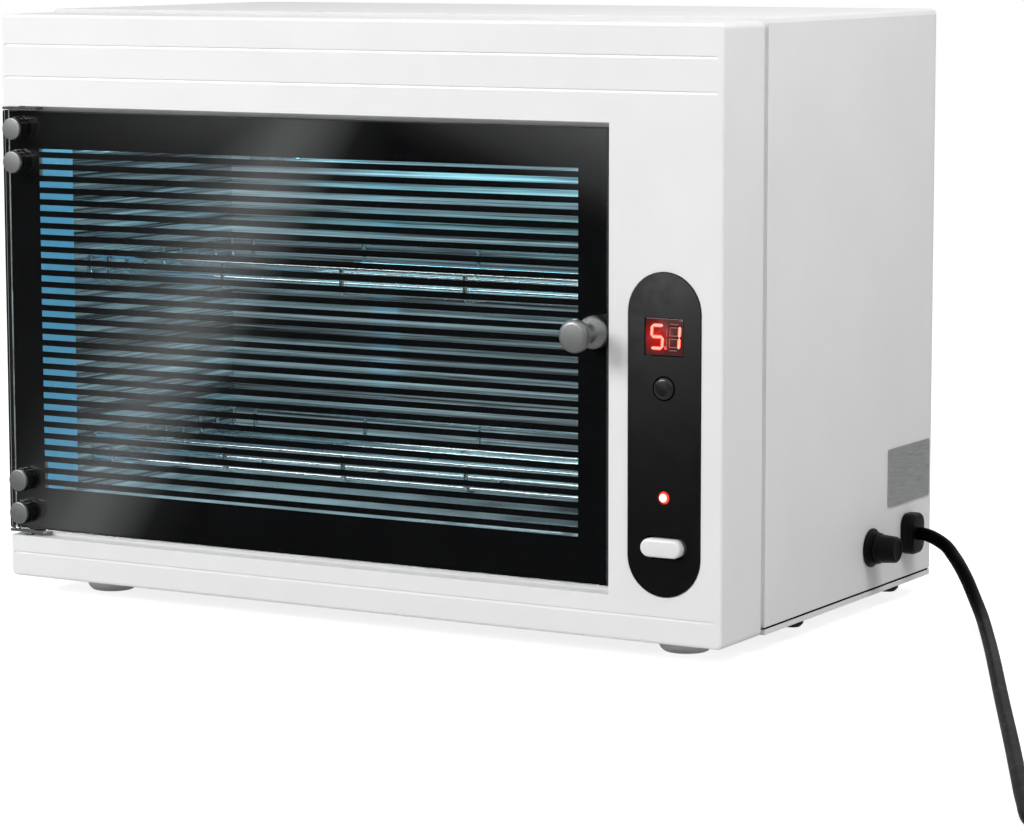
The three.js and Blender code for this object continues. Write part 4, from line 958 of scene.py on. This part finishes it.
def mouth_painted_light():
    """The left wall of the opening, with the lamp's blue light on it painted as a glowing sheet."""
    wall, _, low, high = OPENING
    sides = (
        (PAINTED_LIGHT_STEP, PAINTED_LIGHT_BACK, low + PAINTED_LIGHT_INSET, high - PAINTED_LIGHT_INSET),
        (PAINTED_LIGHT_FRONT, PAINTED_LIGHT_STEP, *PAINTED_LIGHT_BETWEEN_CLAMPS),
    )
    span = (wall, wall + PAINTED_LIGHT_THICKNESS)
    plates = [prism("painted_light_plate", rectangle(*side), "x", span) for side in sides]
    dress(joined("mouth_painted_light", plates), "cabinet", "lit_white", "white_moulding")


def door_knob():
    head, neck, flange = KNOB_HEAD / 2, KNOB_NECK / 2, KNOB_FLANGE / 2
    head_back = KNOB_TIP + KNOB_HEAD_DEPTH
    throat_share, throat_depth_share = KNOB_THROAT_SHARES
    profile = softened([
        (0, KNOB_TIP),
        *((head * wide, KNOB_TIP + KNOB_HEAD_DEPTH * deep) for wide, deep in KNOB_HEAD_SHARES),
        (neck * throat_share, head_back),
        (neck, head_back + KNOB_HEAD_DEPTH * throat_depth_share),
        (neck, KNOB_FOOT - 2 * KNOB_FLANGE_DEPTH),
        (flange, KNOB_FOOT - KNOB_FLANGE_DEPTH),
        (flange, KNOB_FOOT),
        (0, KNOB_FOOT),
    ], KNOB_EDGE, 5)
    knob = lathe("knob_turning", profile, "y", KNOB_PLACE, 96)
    dress(knob, "door", "turned_steel", "turned_steel", "door_knob")


# Inside


def tray_wires(level):
    """Lines of a tray's ribs and runners."""
    left, right = TRAY_X
    front, back = TRAY_Y
    runner = level + TRAY_WIRE / 2
    rib = runner + WELD
    rim = level + TRAY_WALL - TRAY_WIRE / 2
    wires = []
    for i in range(TRAY_RIBS):
        y = front + (back - front) * i / (TRAY_RIBS - 1)
        wires.append([(left, y, rim), (left, y, rib), (right, y, rib), (right, y, rim)])
    for i in range(TRAY_RUNNERS):
        x = left + RUNNER_INSET + (right - left - 2 * RUNNER_INSET) * i / (TRAY_RUNNERS - 1)
        near, far = front - WELD, back + WELD
        wires.append([(x, near, rim), (x, near, runner), (x, far, runner), (x, far, rim)])
    return wires


def tray_rim(level):
    """The line of a tray's rim, from the middle of its front round to the same place."""
    corners = rectangle(*TRAY_X, *TRAY_Y)
    middle = (sum(TRAY_X) / 2, TRAY_Y[0])
    return [(x, y, level + TRAY_WALL - TRAY_WIRE / 2) for x, y in (middle, *corners[1:], corners[0], middle)]


def wire_tray(name, level):
    curve = bpy.data.curves.new(f"{name}_wires", "CURVE")
    curve.dimensions = "3D"
    curve.bevel_depth = TRAY_WIRE / 2 * MM
    curve.bevel_resolution = 3
    curve.use_fill_caps = True
    lines = [softened(wire, WIRE_BEND, 4) for wire in tray_wires(level)]
    lines.append(softened(tray_rim(level), WIRE_BEND, 4)[:-1])
    for line in lines:
        spline = curve.splines.new("POLY")
        spline.points.add(len(line) - 1)
        for point, place in zip(spline.points, line):
            point.co = (*at(*place), 1)
    spline.use_cyclic_u = True
    dress(linked(f"{name}_wires", curve), name, "tray_steel", "polished_steel", name)


def lamp():
    start, end = LAMP_ENDS
    inset, radius = LAMP_CAP_LENGTH / 2, LAMP_DIAMETER / 2
    tube = softened([
        (0, start + inset),
        (radius, start + inset),
        (radius, end - inset),
        (0, end - inset),
    ], LAMP_TUBE_EDGE)
    dress(lathe("lamp_envelope", tube, "x", LAMP_PLACE), "lamp", "lamp_glow", "lamp_glass", "uv_tube")
    lamp_end("left", start, 1)
    lamp_end("right", end, -1)


def lamp_end(side, face, way):
    """A cap of the tube with its two pins. The way points from the cap to the tube."""
    cap, socket = LAMP_CAP / 2, LAMP_DIAMETER / 2 + GAP
    floor = face + way * (LAMP_CAP_LENGTH / 2 - GAP)
    profile = softened([
        (0, face),
        *((cap * wide, face + way * LAMP_CAP_LENGTH * deep) for wide, deep in LAMP_CAP_SHARES),
        (socket, face + way * LAMP_CAP_LENGTH),
        (socket, floor),
        (0, floor),
    ], LAMP_CAP_EDGE)
    pieces = [lathe(f"cap_shell_{side}", profile, "x", LAMP_PLACE)]
    pin = softened([
        (0, face + way * LAMP_PIN_ROOT),
        (LAMP_PIN / 2, face + way * LAMP_PIN_ROOT),
        (LAMP_PIN / 2, face - way * LAMP_PIN_LENGTH),
        (0, face - way * LAMP_PIN_LENGTH),
    ], LAMP_PIN_EDGE)
    across, up = LAMP_PLACE
    for offset in (-LAMP_PIN_SPACING / 2, LAMP_PIN_SPACING / 2):
        pieces.append(lathe(f"pin_{side}_{offset}", pin, "x", (across, up + offset), 24))
    dress(joined(f"lamp_end_{side}", pieces), "lamp", "lamp_metal", "lamp_metal", f"lamp_cap_{side}")


# Control panel


def segment(start, end, middle, stroke):
    """A bar with pointed ends, between two places of the digit's unit cell."""
    width, height = DIGIT_SIZE
    half = stroke / 2
    first = Vector(((start[0] - 0.5) * width, (start[1] - 0.5) * height))
    last = Vector(((end[0] - 0.5) * width, (end[1] - 0.5) * height))
    way = (last - first).normalized()
    first += way * DIGIT_GAP
    last -= way * DIGIT_GAP
    side = Vector((-way.y, way.x)) * half
    points = [first, first + way * half + side, last - way * half + side, last,
              last - way * half - side, first + way * half - side]
    return [(middle + point.x + point.y * DIGIT_LEAN, DISPLAY_CENTRE + point.y) for point in points]


def around_place(x, z, size):
    """Left, right, low and high of a box round a place."""
    return x - size[0] / 2, x + size[0] / 2, z - size[1] / 2, z + size[1] / 2


def display_window():
    wide, tall = DISPLAY_SIZE
    sides = around_place(PANEL_MIDDLE, DISPLAY_CENTRE, (wide - 2 * GAP, tall - 2 * GAP))
    span = (DISPLAY_FACE - DISPLAY_PROUD, DISPLAY_FACE + DISPLAY_DEPTH)
    face = slab("display_window", rounded_box(sides, DISPLAY_CORNER, 3), "y", span, DISPLAY_EDGE, 2)
    dress(face, "cabinet", "window_red", "black_plastic")


def display_digits():
    front = (DISPLAY_FACE - DIGIT_RISE, DISPLAY_FACE)
    core_front = (DISPLAY_FACE - DIGIT_CORE_RISE, DISPLAY_FACE)
    lit, cores, unlit, hollows = [], [], [], []
    for digit, offset in zip("51", DIGIT_PLACES):
        for name, ends in SEGMENTS.items():
            on = name in LIT[digit]
            if not on and digit not in DARK_BARS_ON:
                continue
            whole = segment(*ends, PANEL_MIDDLE + offset, DIGIT_STROKE)
            core = segment(*ends, PANEL_MIDDLE + offset, DIGIT_CORE)
            (lit if on else unlit).append(prism(f"bar_{digit}_{name}", whole, "y", front))
            (cores if on else hollows).append(prism(f"core_{digit}_{name}", core, "y", core_front))
    across, up = POINT_PLACE
    point = around_place(PANEL_MIDDLE + across, DISPLAY_CENTRE + up, (POINT_SIZE, POINT_SIZE))
    lit.append(prism("bar_point", rectangle(*point), "y", front))
    for name, pieces, look, slot in (
        ("display_lit", lit, "digit_lit", "red_lens"),
        ("display_cores", cores, "digit_core", "red_lens"),
        ("display_unlit", unlit, "digit_dark", "red_lens"),
        ("display_hollows", hollows, "window_red", "black_plastic"),
    ):
        dress(joined(name, pieces), "cabinet", look, slot)


def set_key():
    cap = SET_DIAMETER / 2 - SET_CLEARANCE
    back = (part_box("set_button")[1].y - ORIGIN.y) / MM
    flange = PANEL_BACK + GAP
    profile = softened([
        (0, SET_FRONT),
        *((cap * wide, SET_FRONT + SET_DOME * deep) for wide, deep in SET_DOME_SHARES),
        (cap, flange),
        (cap + SET_FLANGE, flange),
        (cap + SET_FLANGE, flange + SET_FLANGE_DEPTH),
        (cap, flange + SET_FLANGE_DEPTH),
        (cap, back),
        (0, back),
    ], SET_EDGE)
    button = lathe("set_key", profile, "y", (PANEL_MIDDLE, SET_HEIGHT))
    dress(button, "set_button", "button_black", "black_plastic", "set_button")


def dome(radius, tip, depth, steps):
    """A quarter turn from the tip of a dome to its side, as (radius, place) pairs."""
    angles = [QUARTER * k / steps for k in range(steps + 1)]
    return [(radius * math.sin(angle), tip + depth * (1 - math.cos(angle))) for angle in angles]


def panel_light():
    place, lens = (PANEL_MIDDLE, LIGHT_HEIGHT), LIGHT_DIAMETER / 2
    profile = dome(lens, LIGHT_FRONT, lens, 8)
    flange, back = PANEL_BACK + GAP, LIGHT_FRONT + LIGHT_DEPTH
    profile += [(lens, flange), (lens + LIGHT_FLANGE, flange), (lens + LIGHT_FLANGE, back), (0, back)]
    light = lathe("panel_light", profile, "y", place, 48)
    dress(light, "cabinet", "red_lens", "red_lens", "indicator_light")
    depth = lens * LIGHT_CORE_DEPTH_SHARE
    core = dome(lens * LIGHT_CORE_SHARE, LIGHT_FRONT - LIGHT_CORE_RISE, depth, 6)
    core.append((0, LIGHT_FRONT + depth))
    dress(lathe("panel_light_core", core, "y", place, 40), "cabinet", "light_core", "red_lens")


def power_key():
    outline = rounded_box(around_place(PANEL_MIDDLE, POWER_HEIGHT, POWER_SIZE), POWER_SIZE[1] / 2, 12)
    pill = slab("power_key", outline, "y", (POWER_FRONT, POWER_BACK), POWER_EDGE, 6, POWER_BACK_EDGE)
    dress(pill, "power_button", "button_white", "white_moulding", "power_button")


# Right side


def fuse():
    wall = WIDTH + GAP
    back = WIDTH - FUSE_LENGTH
    holder = softened([
        (0, back),
        (FUSE_THREAD / 2, back),
        (FUSE_THREAD / 2, wall),
        *((radius, wall + along) for radius, along in FUSE_COLLAR_PROFILE),
        (FUSE_BORE / 2, wall + FUSE_COLLAR),
        (FUSE_BORE / 2, back + FUSE_FLOOR),
        (0, back + FUSE_FLOOR),
    ], FUSE_EDGE)
    body = lathe("fuse_body", holder, "x", FUSE_PLACE)
    dress(body, "cabinet", "black_plastic", "black_plastic", "fuse_holder")
    base = wall + FUSE_COLLAR + GAP
    cap = softened([
        (0, base - FUSE_STEM_LENGTH),
        (FUSE_STEM / 2, base - FUSE_STEM_LENGTH),
        (FUSE_STEM / 2, base),
        *((radius, base + along) for radius, along in FUSE_CAP_PROFILE),
    ], FUSE_CAP_EDGE)
    grip = lathe("fuse_grip", cap, "x", FUSE_PLACE)
    dress(grip, "fuse_cap", "black_plastic", "black_plastic", "fuse_cap")


def strain_relief():
    corner = GRIP_SIZE[0] / 2 * GRIP_CORNER_SHARE
    outline = rounded_box(around_place(*GRIP_PLACE, GRIP_SIZE), corner, 6)
    block = slab("grip_block", outline, "x", (GRIP_FRONT, GRIP_FACE), GRIP_EDGE, 5, GRIP_BACK_EDGE)
    outline = rounded_box(around_place(*GRIP_PLACE, GRIP_NECK_SIZE), GRIP_NECK_CORNER, 4)
    span = (GRIP_FACE + GRIP_NECK_LAP, WIDTH - GRIP_NECK_DEPTH)
    neck = slab("grip_neck", outline, "x", span, GRIP_NECK_EDGE, 2)
    dress(joined("lead_grip", [block, neck]), "cabinet", "black_plastic", "black_plastic", "strain_relief")


def seam_painted_shade():
    """Dark strips in the gap between the shell's lower edge and the base plate: painted shade of the gap."""
    near, far = SEAM_SPAN
    right = WIDTH - SEAM_INSET
    sides = (
        (right - SEAM_WIDTH, right, near, far),
        (SEAM_INSET, SEAM_INSET + SEAM_WIDTH, near, far),
    )
    strips = []
    for i, side in enumerate(sides):
        strips.append(slab(f"seam_{i}", rounded_box(side, SEAM_EDGE, 2), "z", SEAM_HEIGHT, SEAM_EDGE, 1))
    dress(joined("seam_painted_shade", strips), "cabinet", "print_black", "black_plastic")


def feet():
    wide = FOOT_DIAMETER / 2
    hollow, rim = FOOT_HOLLOW_RADII
    profile = softened([
        (0, FLOOR + FOOT_HOLLOW),
        (hollow, FLOOR + FOOT_HOLLOW),
        (rim, FLOOR),
        (wide - FOOT_TAPER, FLOOR),
        (wide, FLOOR + FOOT_TAPER),
        (wide, -GAP),
        (0, -GAP),
    ], FOOT_EDGE)
    dressing = ("cabinet", "foot_rubber", "foot_rubber")
    turned_row(("foot_turning", "foot"), profile, "z", FOOT_PLACES, dressing)


def base_screws():
    shank = BASE_SCREW_SHANK / 2
    profile = softened([
        *((radius, -GAP - height) for radius, height in BASE_SCREW_PROFILE),
        (shank, -GAP),
        (shank, BASE_SCREW_LENGTH),
        (0, BASE_SCREW_LENGTH),
    ], BASE_SCREW_EDGE)
    dressing = ("cabinet", "black_plastic", "black_plastic")
    turned_row(("screw_turning", "base_screw"), profile, "z", BASE_SCREW_PLACES, dressing, 32)


# Plug


def plug(tip, heading):
    turn = Matrix.Rotation(heading, 4, "Z")
    to_world = Matrix.Translation(at(*tip)) @ turn @ Matrix.Translation(-at(0, 0, 0))
    body = plug_moulding()
    body.data.transform(to_world)
    dress(body, "cabinet", "black_plastic", "black_plastic", "plug_body")
    pieces = [body]
    for i, offset in enumerate((-PIN_SPACING / 2, PIN_SPACING / 2), 1):
        pin = plug_prong(f"plug_prong_{i}", offset)
        pin.data.transform(to_world)
        pieces.append(dress(pin, "cabinet", "pin_brass", "pin_brass", f"plug_pin_{i}"))
    return pieces


def plug_section(along):
    """Half the plug's width and depth at a place: it swells from the neck to the body."""
    share = (along - PLUG_NECK_LENGTH * PLUG_SWELL_START_SHARE) / PLUG_SWELL_LENGTH
    share = min(max(share, 0), 1)
    swell = share * share * (3 - 2 * share)
    wide = (PLUG_NECK_WIDTH + (PLUG_WIDTH - PLUG_NECK_WIDTH) * swell) / 2
    deep = PLUG_DEPTH / 2 * (PLUG_NECK_DEPTH_SHARE + (1 - PLUG_NECK_DEPTH_SHARE) * swell)
    return wide, deep


def plug_moulding():
    corners, faces = [], []
    for k in range(PLUG_SECTIONS + 1):
        along = (PLUG_NECK_LENGTH + PLUG_LENGTH) * k / PLUG_SECTIONS
        wide, deep = plug_section(along)
        if k in (0, PLUG_SECTIONS):
            wide -= PLUG_EDGE
            deep -= PLUG_EDGE
        for j in range(PLUG_SPOKES):
            angle = FULL_TURN * j / PLUG_SPOKES
            corners.append((along, squared(math.cos(angle)) * wide, squared(math.sin(angle)) * deep))
    for k in range(PLUG_SECTIONS):
        for j in range(PLUG_SPOKES):
            a, b = k * PLUG_SPOKES + j, k * PLUG_SPOKES + (j + 1) % PLUG_SPOKES
            faces.append((a, b, b + PLUG_SPOKES, a + PLUG_SPOKES))
    faces.append(tuple(range(PLUG_SPOKES)))
    faces.append(tuple(range(PLUG_SECTIONS * PLUG_SPOKES, (PLUG_SECTIONS + 1) * PLUG_SPOKES)))
    return mesh_piece("plug_moulding", corners, faces)


def squared(share):
    """Pushes a point of a circle towards the corners of its square."""
    return math.copysign(abs(share) ** PLUG_SQUARENESS, share)


def plug_prong(name, offset):
    face, radius = PLUG_NECK_LENGTH + PLUG_LENGTH, PIN_DIAMETER / 2
    profile = [(0, face - PIN_ROOT), (radius, face - PIN_ROOT)]
    tip = dome(radius, face + PIN_LENGTH, -radius, 6)
    profile += reversed(tip)
    return lathe(name, profile, "x", (offset, 0), 32)


# Surroundings


def grey(level):
    return level, level, level, 1


def stage():
    mesh = bpy.data.meshes.new("floor")
    corners = [Vector((x, y, 0)) * FLOOR_REACH for x, y in ((-1, -1), (1, -1), (1, 1), (-1, 1))]
    mesh.from_pydata(corners, [], [(0, 1, 2, 3)])
    floor = linked("floor", mesh)
    material = plain("floor", (0, 0, 0), 0.9, Specular_IOR_Level=0, Emission_Color=grey(1))
    shader_input(material, "Base Color").default_value = grey(FLOOR_LEVEL)
    path = node(material, "ShaderNodeLightPath")
    lift = node(material, "ShaderNodeMath", {1: FLOOR_LIFT}, operation="MULTIPLY")
    join(material, path.outputs["Is Camera Ray"], lift.inputs[0])
    join(material, lift.outputs[0], shader_input(material, "Emission Strength"))
    mesh.materials.append(material)
    floor.visible_glossy = False
    floor.visible_transmission = False


def reflected(pixel):
    """The way that the flat front sends a ray of the photograph's pixel."""
    ahead, right = sight()
    up = right.cross(ahead)
    aside = (pixel[0] - PHOTO_CENTRE[0]) / FOCAL_PIXELS
    above = (PHOTO_CENTRE[1] - pixel[1]) / FOCAL_PIXELS
    way = ahead + right * aside + up * above
    way.y = -way.y
    return way.normalized()


def along_way(world, place, way):
    """How far a direction of the world runs along a way."""
    dot = node(world, "ShaderNodeVectorMath", {1: way}, operation="DOT_PRODUCT")
    join(world, place, dot.inputs[0])
    return dot.outputs["Value"]


def beside_line(world, place, line, levels):
    """A grey by the distance from a line of the photograph, as the flat front reflects it."""
    first, second = line
    normal = reflected(second).cross(reflected(first)).normalized()
    reach = REFLECTED_REACH / FOCAL_PIXELS
    aside = spread(world, along_way(world, place, normal), -reach, reach)
    stops = [((pixels / REFLECTED_REACH + 1) / 2, grey(level)) for pixels, level in levels]
    return ramped(world, aside, stops)


def blended(world, way, first, second):
    blend = node(world, "ShaderNodeMix", {"Factor": 1}, data_type="RGBA", blend_type=way)
    join(world, first, blend.inputs["A"])
    join(world, second, blend.inputs["B"])
    return blend.outputs["Result"]


def before_front(world, place):
    """Dark flags and soft boxes, which the glass and the panel reflect in the photograph's view."""
    band, corner, panel, height, border, left = (beside_line(world, place, *row) for row in FLAGS)
    upper = blended(world, "LIGHTEN", blended(world, "MULTIPLY", border, left), corner)
    glass = blended(world, "LIGHTEN", band, upper)
    return blended(world, "LIGHTEN", glass, blended(world, "MULTIPLY", panel, height))


def all_round(world, place):
    """A white room with a darker horizon, by the height of a direction."""
    parts = node(world, "ShaderNodeSeparateXYZ")
    join(world, place, parts.inputs[0])
    rise = spread(world, parts.outputs["Z"], -1, 1)
    return ramped(world, rise, [(share, grey(level)) for share, level in SKY_LEVELS])


def switched(world, factor, off, on):
    """One colour or the other. Each is a socket or a grey level."""
    switch = node(world, "ShaderNodeMix", data_type="RGBA")
    join(world, factor, switch.inputs["Factor"])
    for name, source in (("A", off), ("B", on)):
        if isinstance(source, (int, float)):
            switch.inputs[name].default_value = grey(source)
        else:
            join(world, source, switch.inputs[name])
    return switch.outputs["Result"]


def studio():
    """Polished and clear surfaces show the flags and the room. The rest gets an even grey light."""
    world = bpy.data.worlds.new("studio")
    bpy.context.scene.world = world
    world.use_nodes = True
    place = node(world, "ShaderNodeTexCoord").outputs["Generated"]
    near, far = (math.cos(math.radians(angle)) for angle in REFLECTED_ANGLES)
    outside = spread(world, along_way(world, place, reflected(REFLECTED_CENTRE)), near, far)
    shiny = switched(world, outside, before_front(world, place), all_round(world, place))
    path = node(world, "ShaderNodeLightPath").outputs
    polished = larger(world, path["Is Glossy Ray"], path["Is Transmission Ray"])
    lit = switched(world, polished, MATT_LEVEL, shiny)
    background = world.node_tree.nodes["Background"]
    join(world, switched(world, path["Is Camera Ray"], lit, 1), background.inputs["Color"])
    background.inputs["Strength"].default_value = 1


def lamp_light(name, place, target, size, power, mirrored=False):
    data = bpy.data.lights.new(name, "AREA")
    data.shape = "RECTANGLE"
    data.size, data.size_y = size
    data.energy = power
    light = linked(name, data)
    light.location = place
    way = Vector(target) - Vector(place)
    light.rotation_euler = way.to_track_quat("-Z", "Y").to_euler()
    light.visible_glossy = mirrored


def lights():
    lamp_light("key_light", KEY_PLACE, KEY_TARGET, KEY_SIZE, KEY_POWER, mirrored=True)
    lamp_light("side_light", SIDE_PLACE, SIDE_TARGET, SIDE_SIZE, SIDE_POWER)


camera()
finish_nodes()
door_pane()
door_print()
grooves()
hinge_screws()
mouth_painted_light()
door_knob()
for tray_name, tray_level in TRAY_LEVELS.items():
    wire_tray(tray_name, tray_level)
lamp()
display_window()
display_digits()
set_key()
panel_light()
power_key()
fuse()
strain_relief()
seam_painted_shade()
feet()
base_screws()
route, plug_heading = lead_route()
lead = mains_lead(route)
dress(lead, "cabinet", "lead_black", "lead_black", "cord_run", "cord_coil", "cord_tail")
plug_pieces = plug(route[-1], plug_heading)
stage()
studio()
lights()

bpy.context.scene.view_settings.view_transform = "Standard"
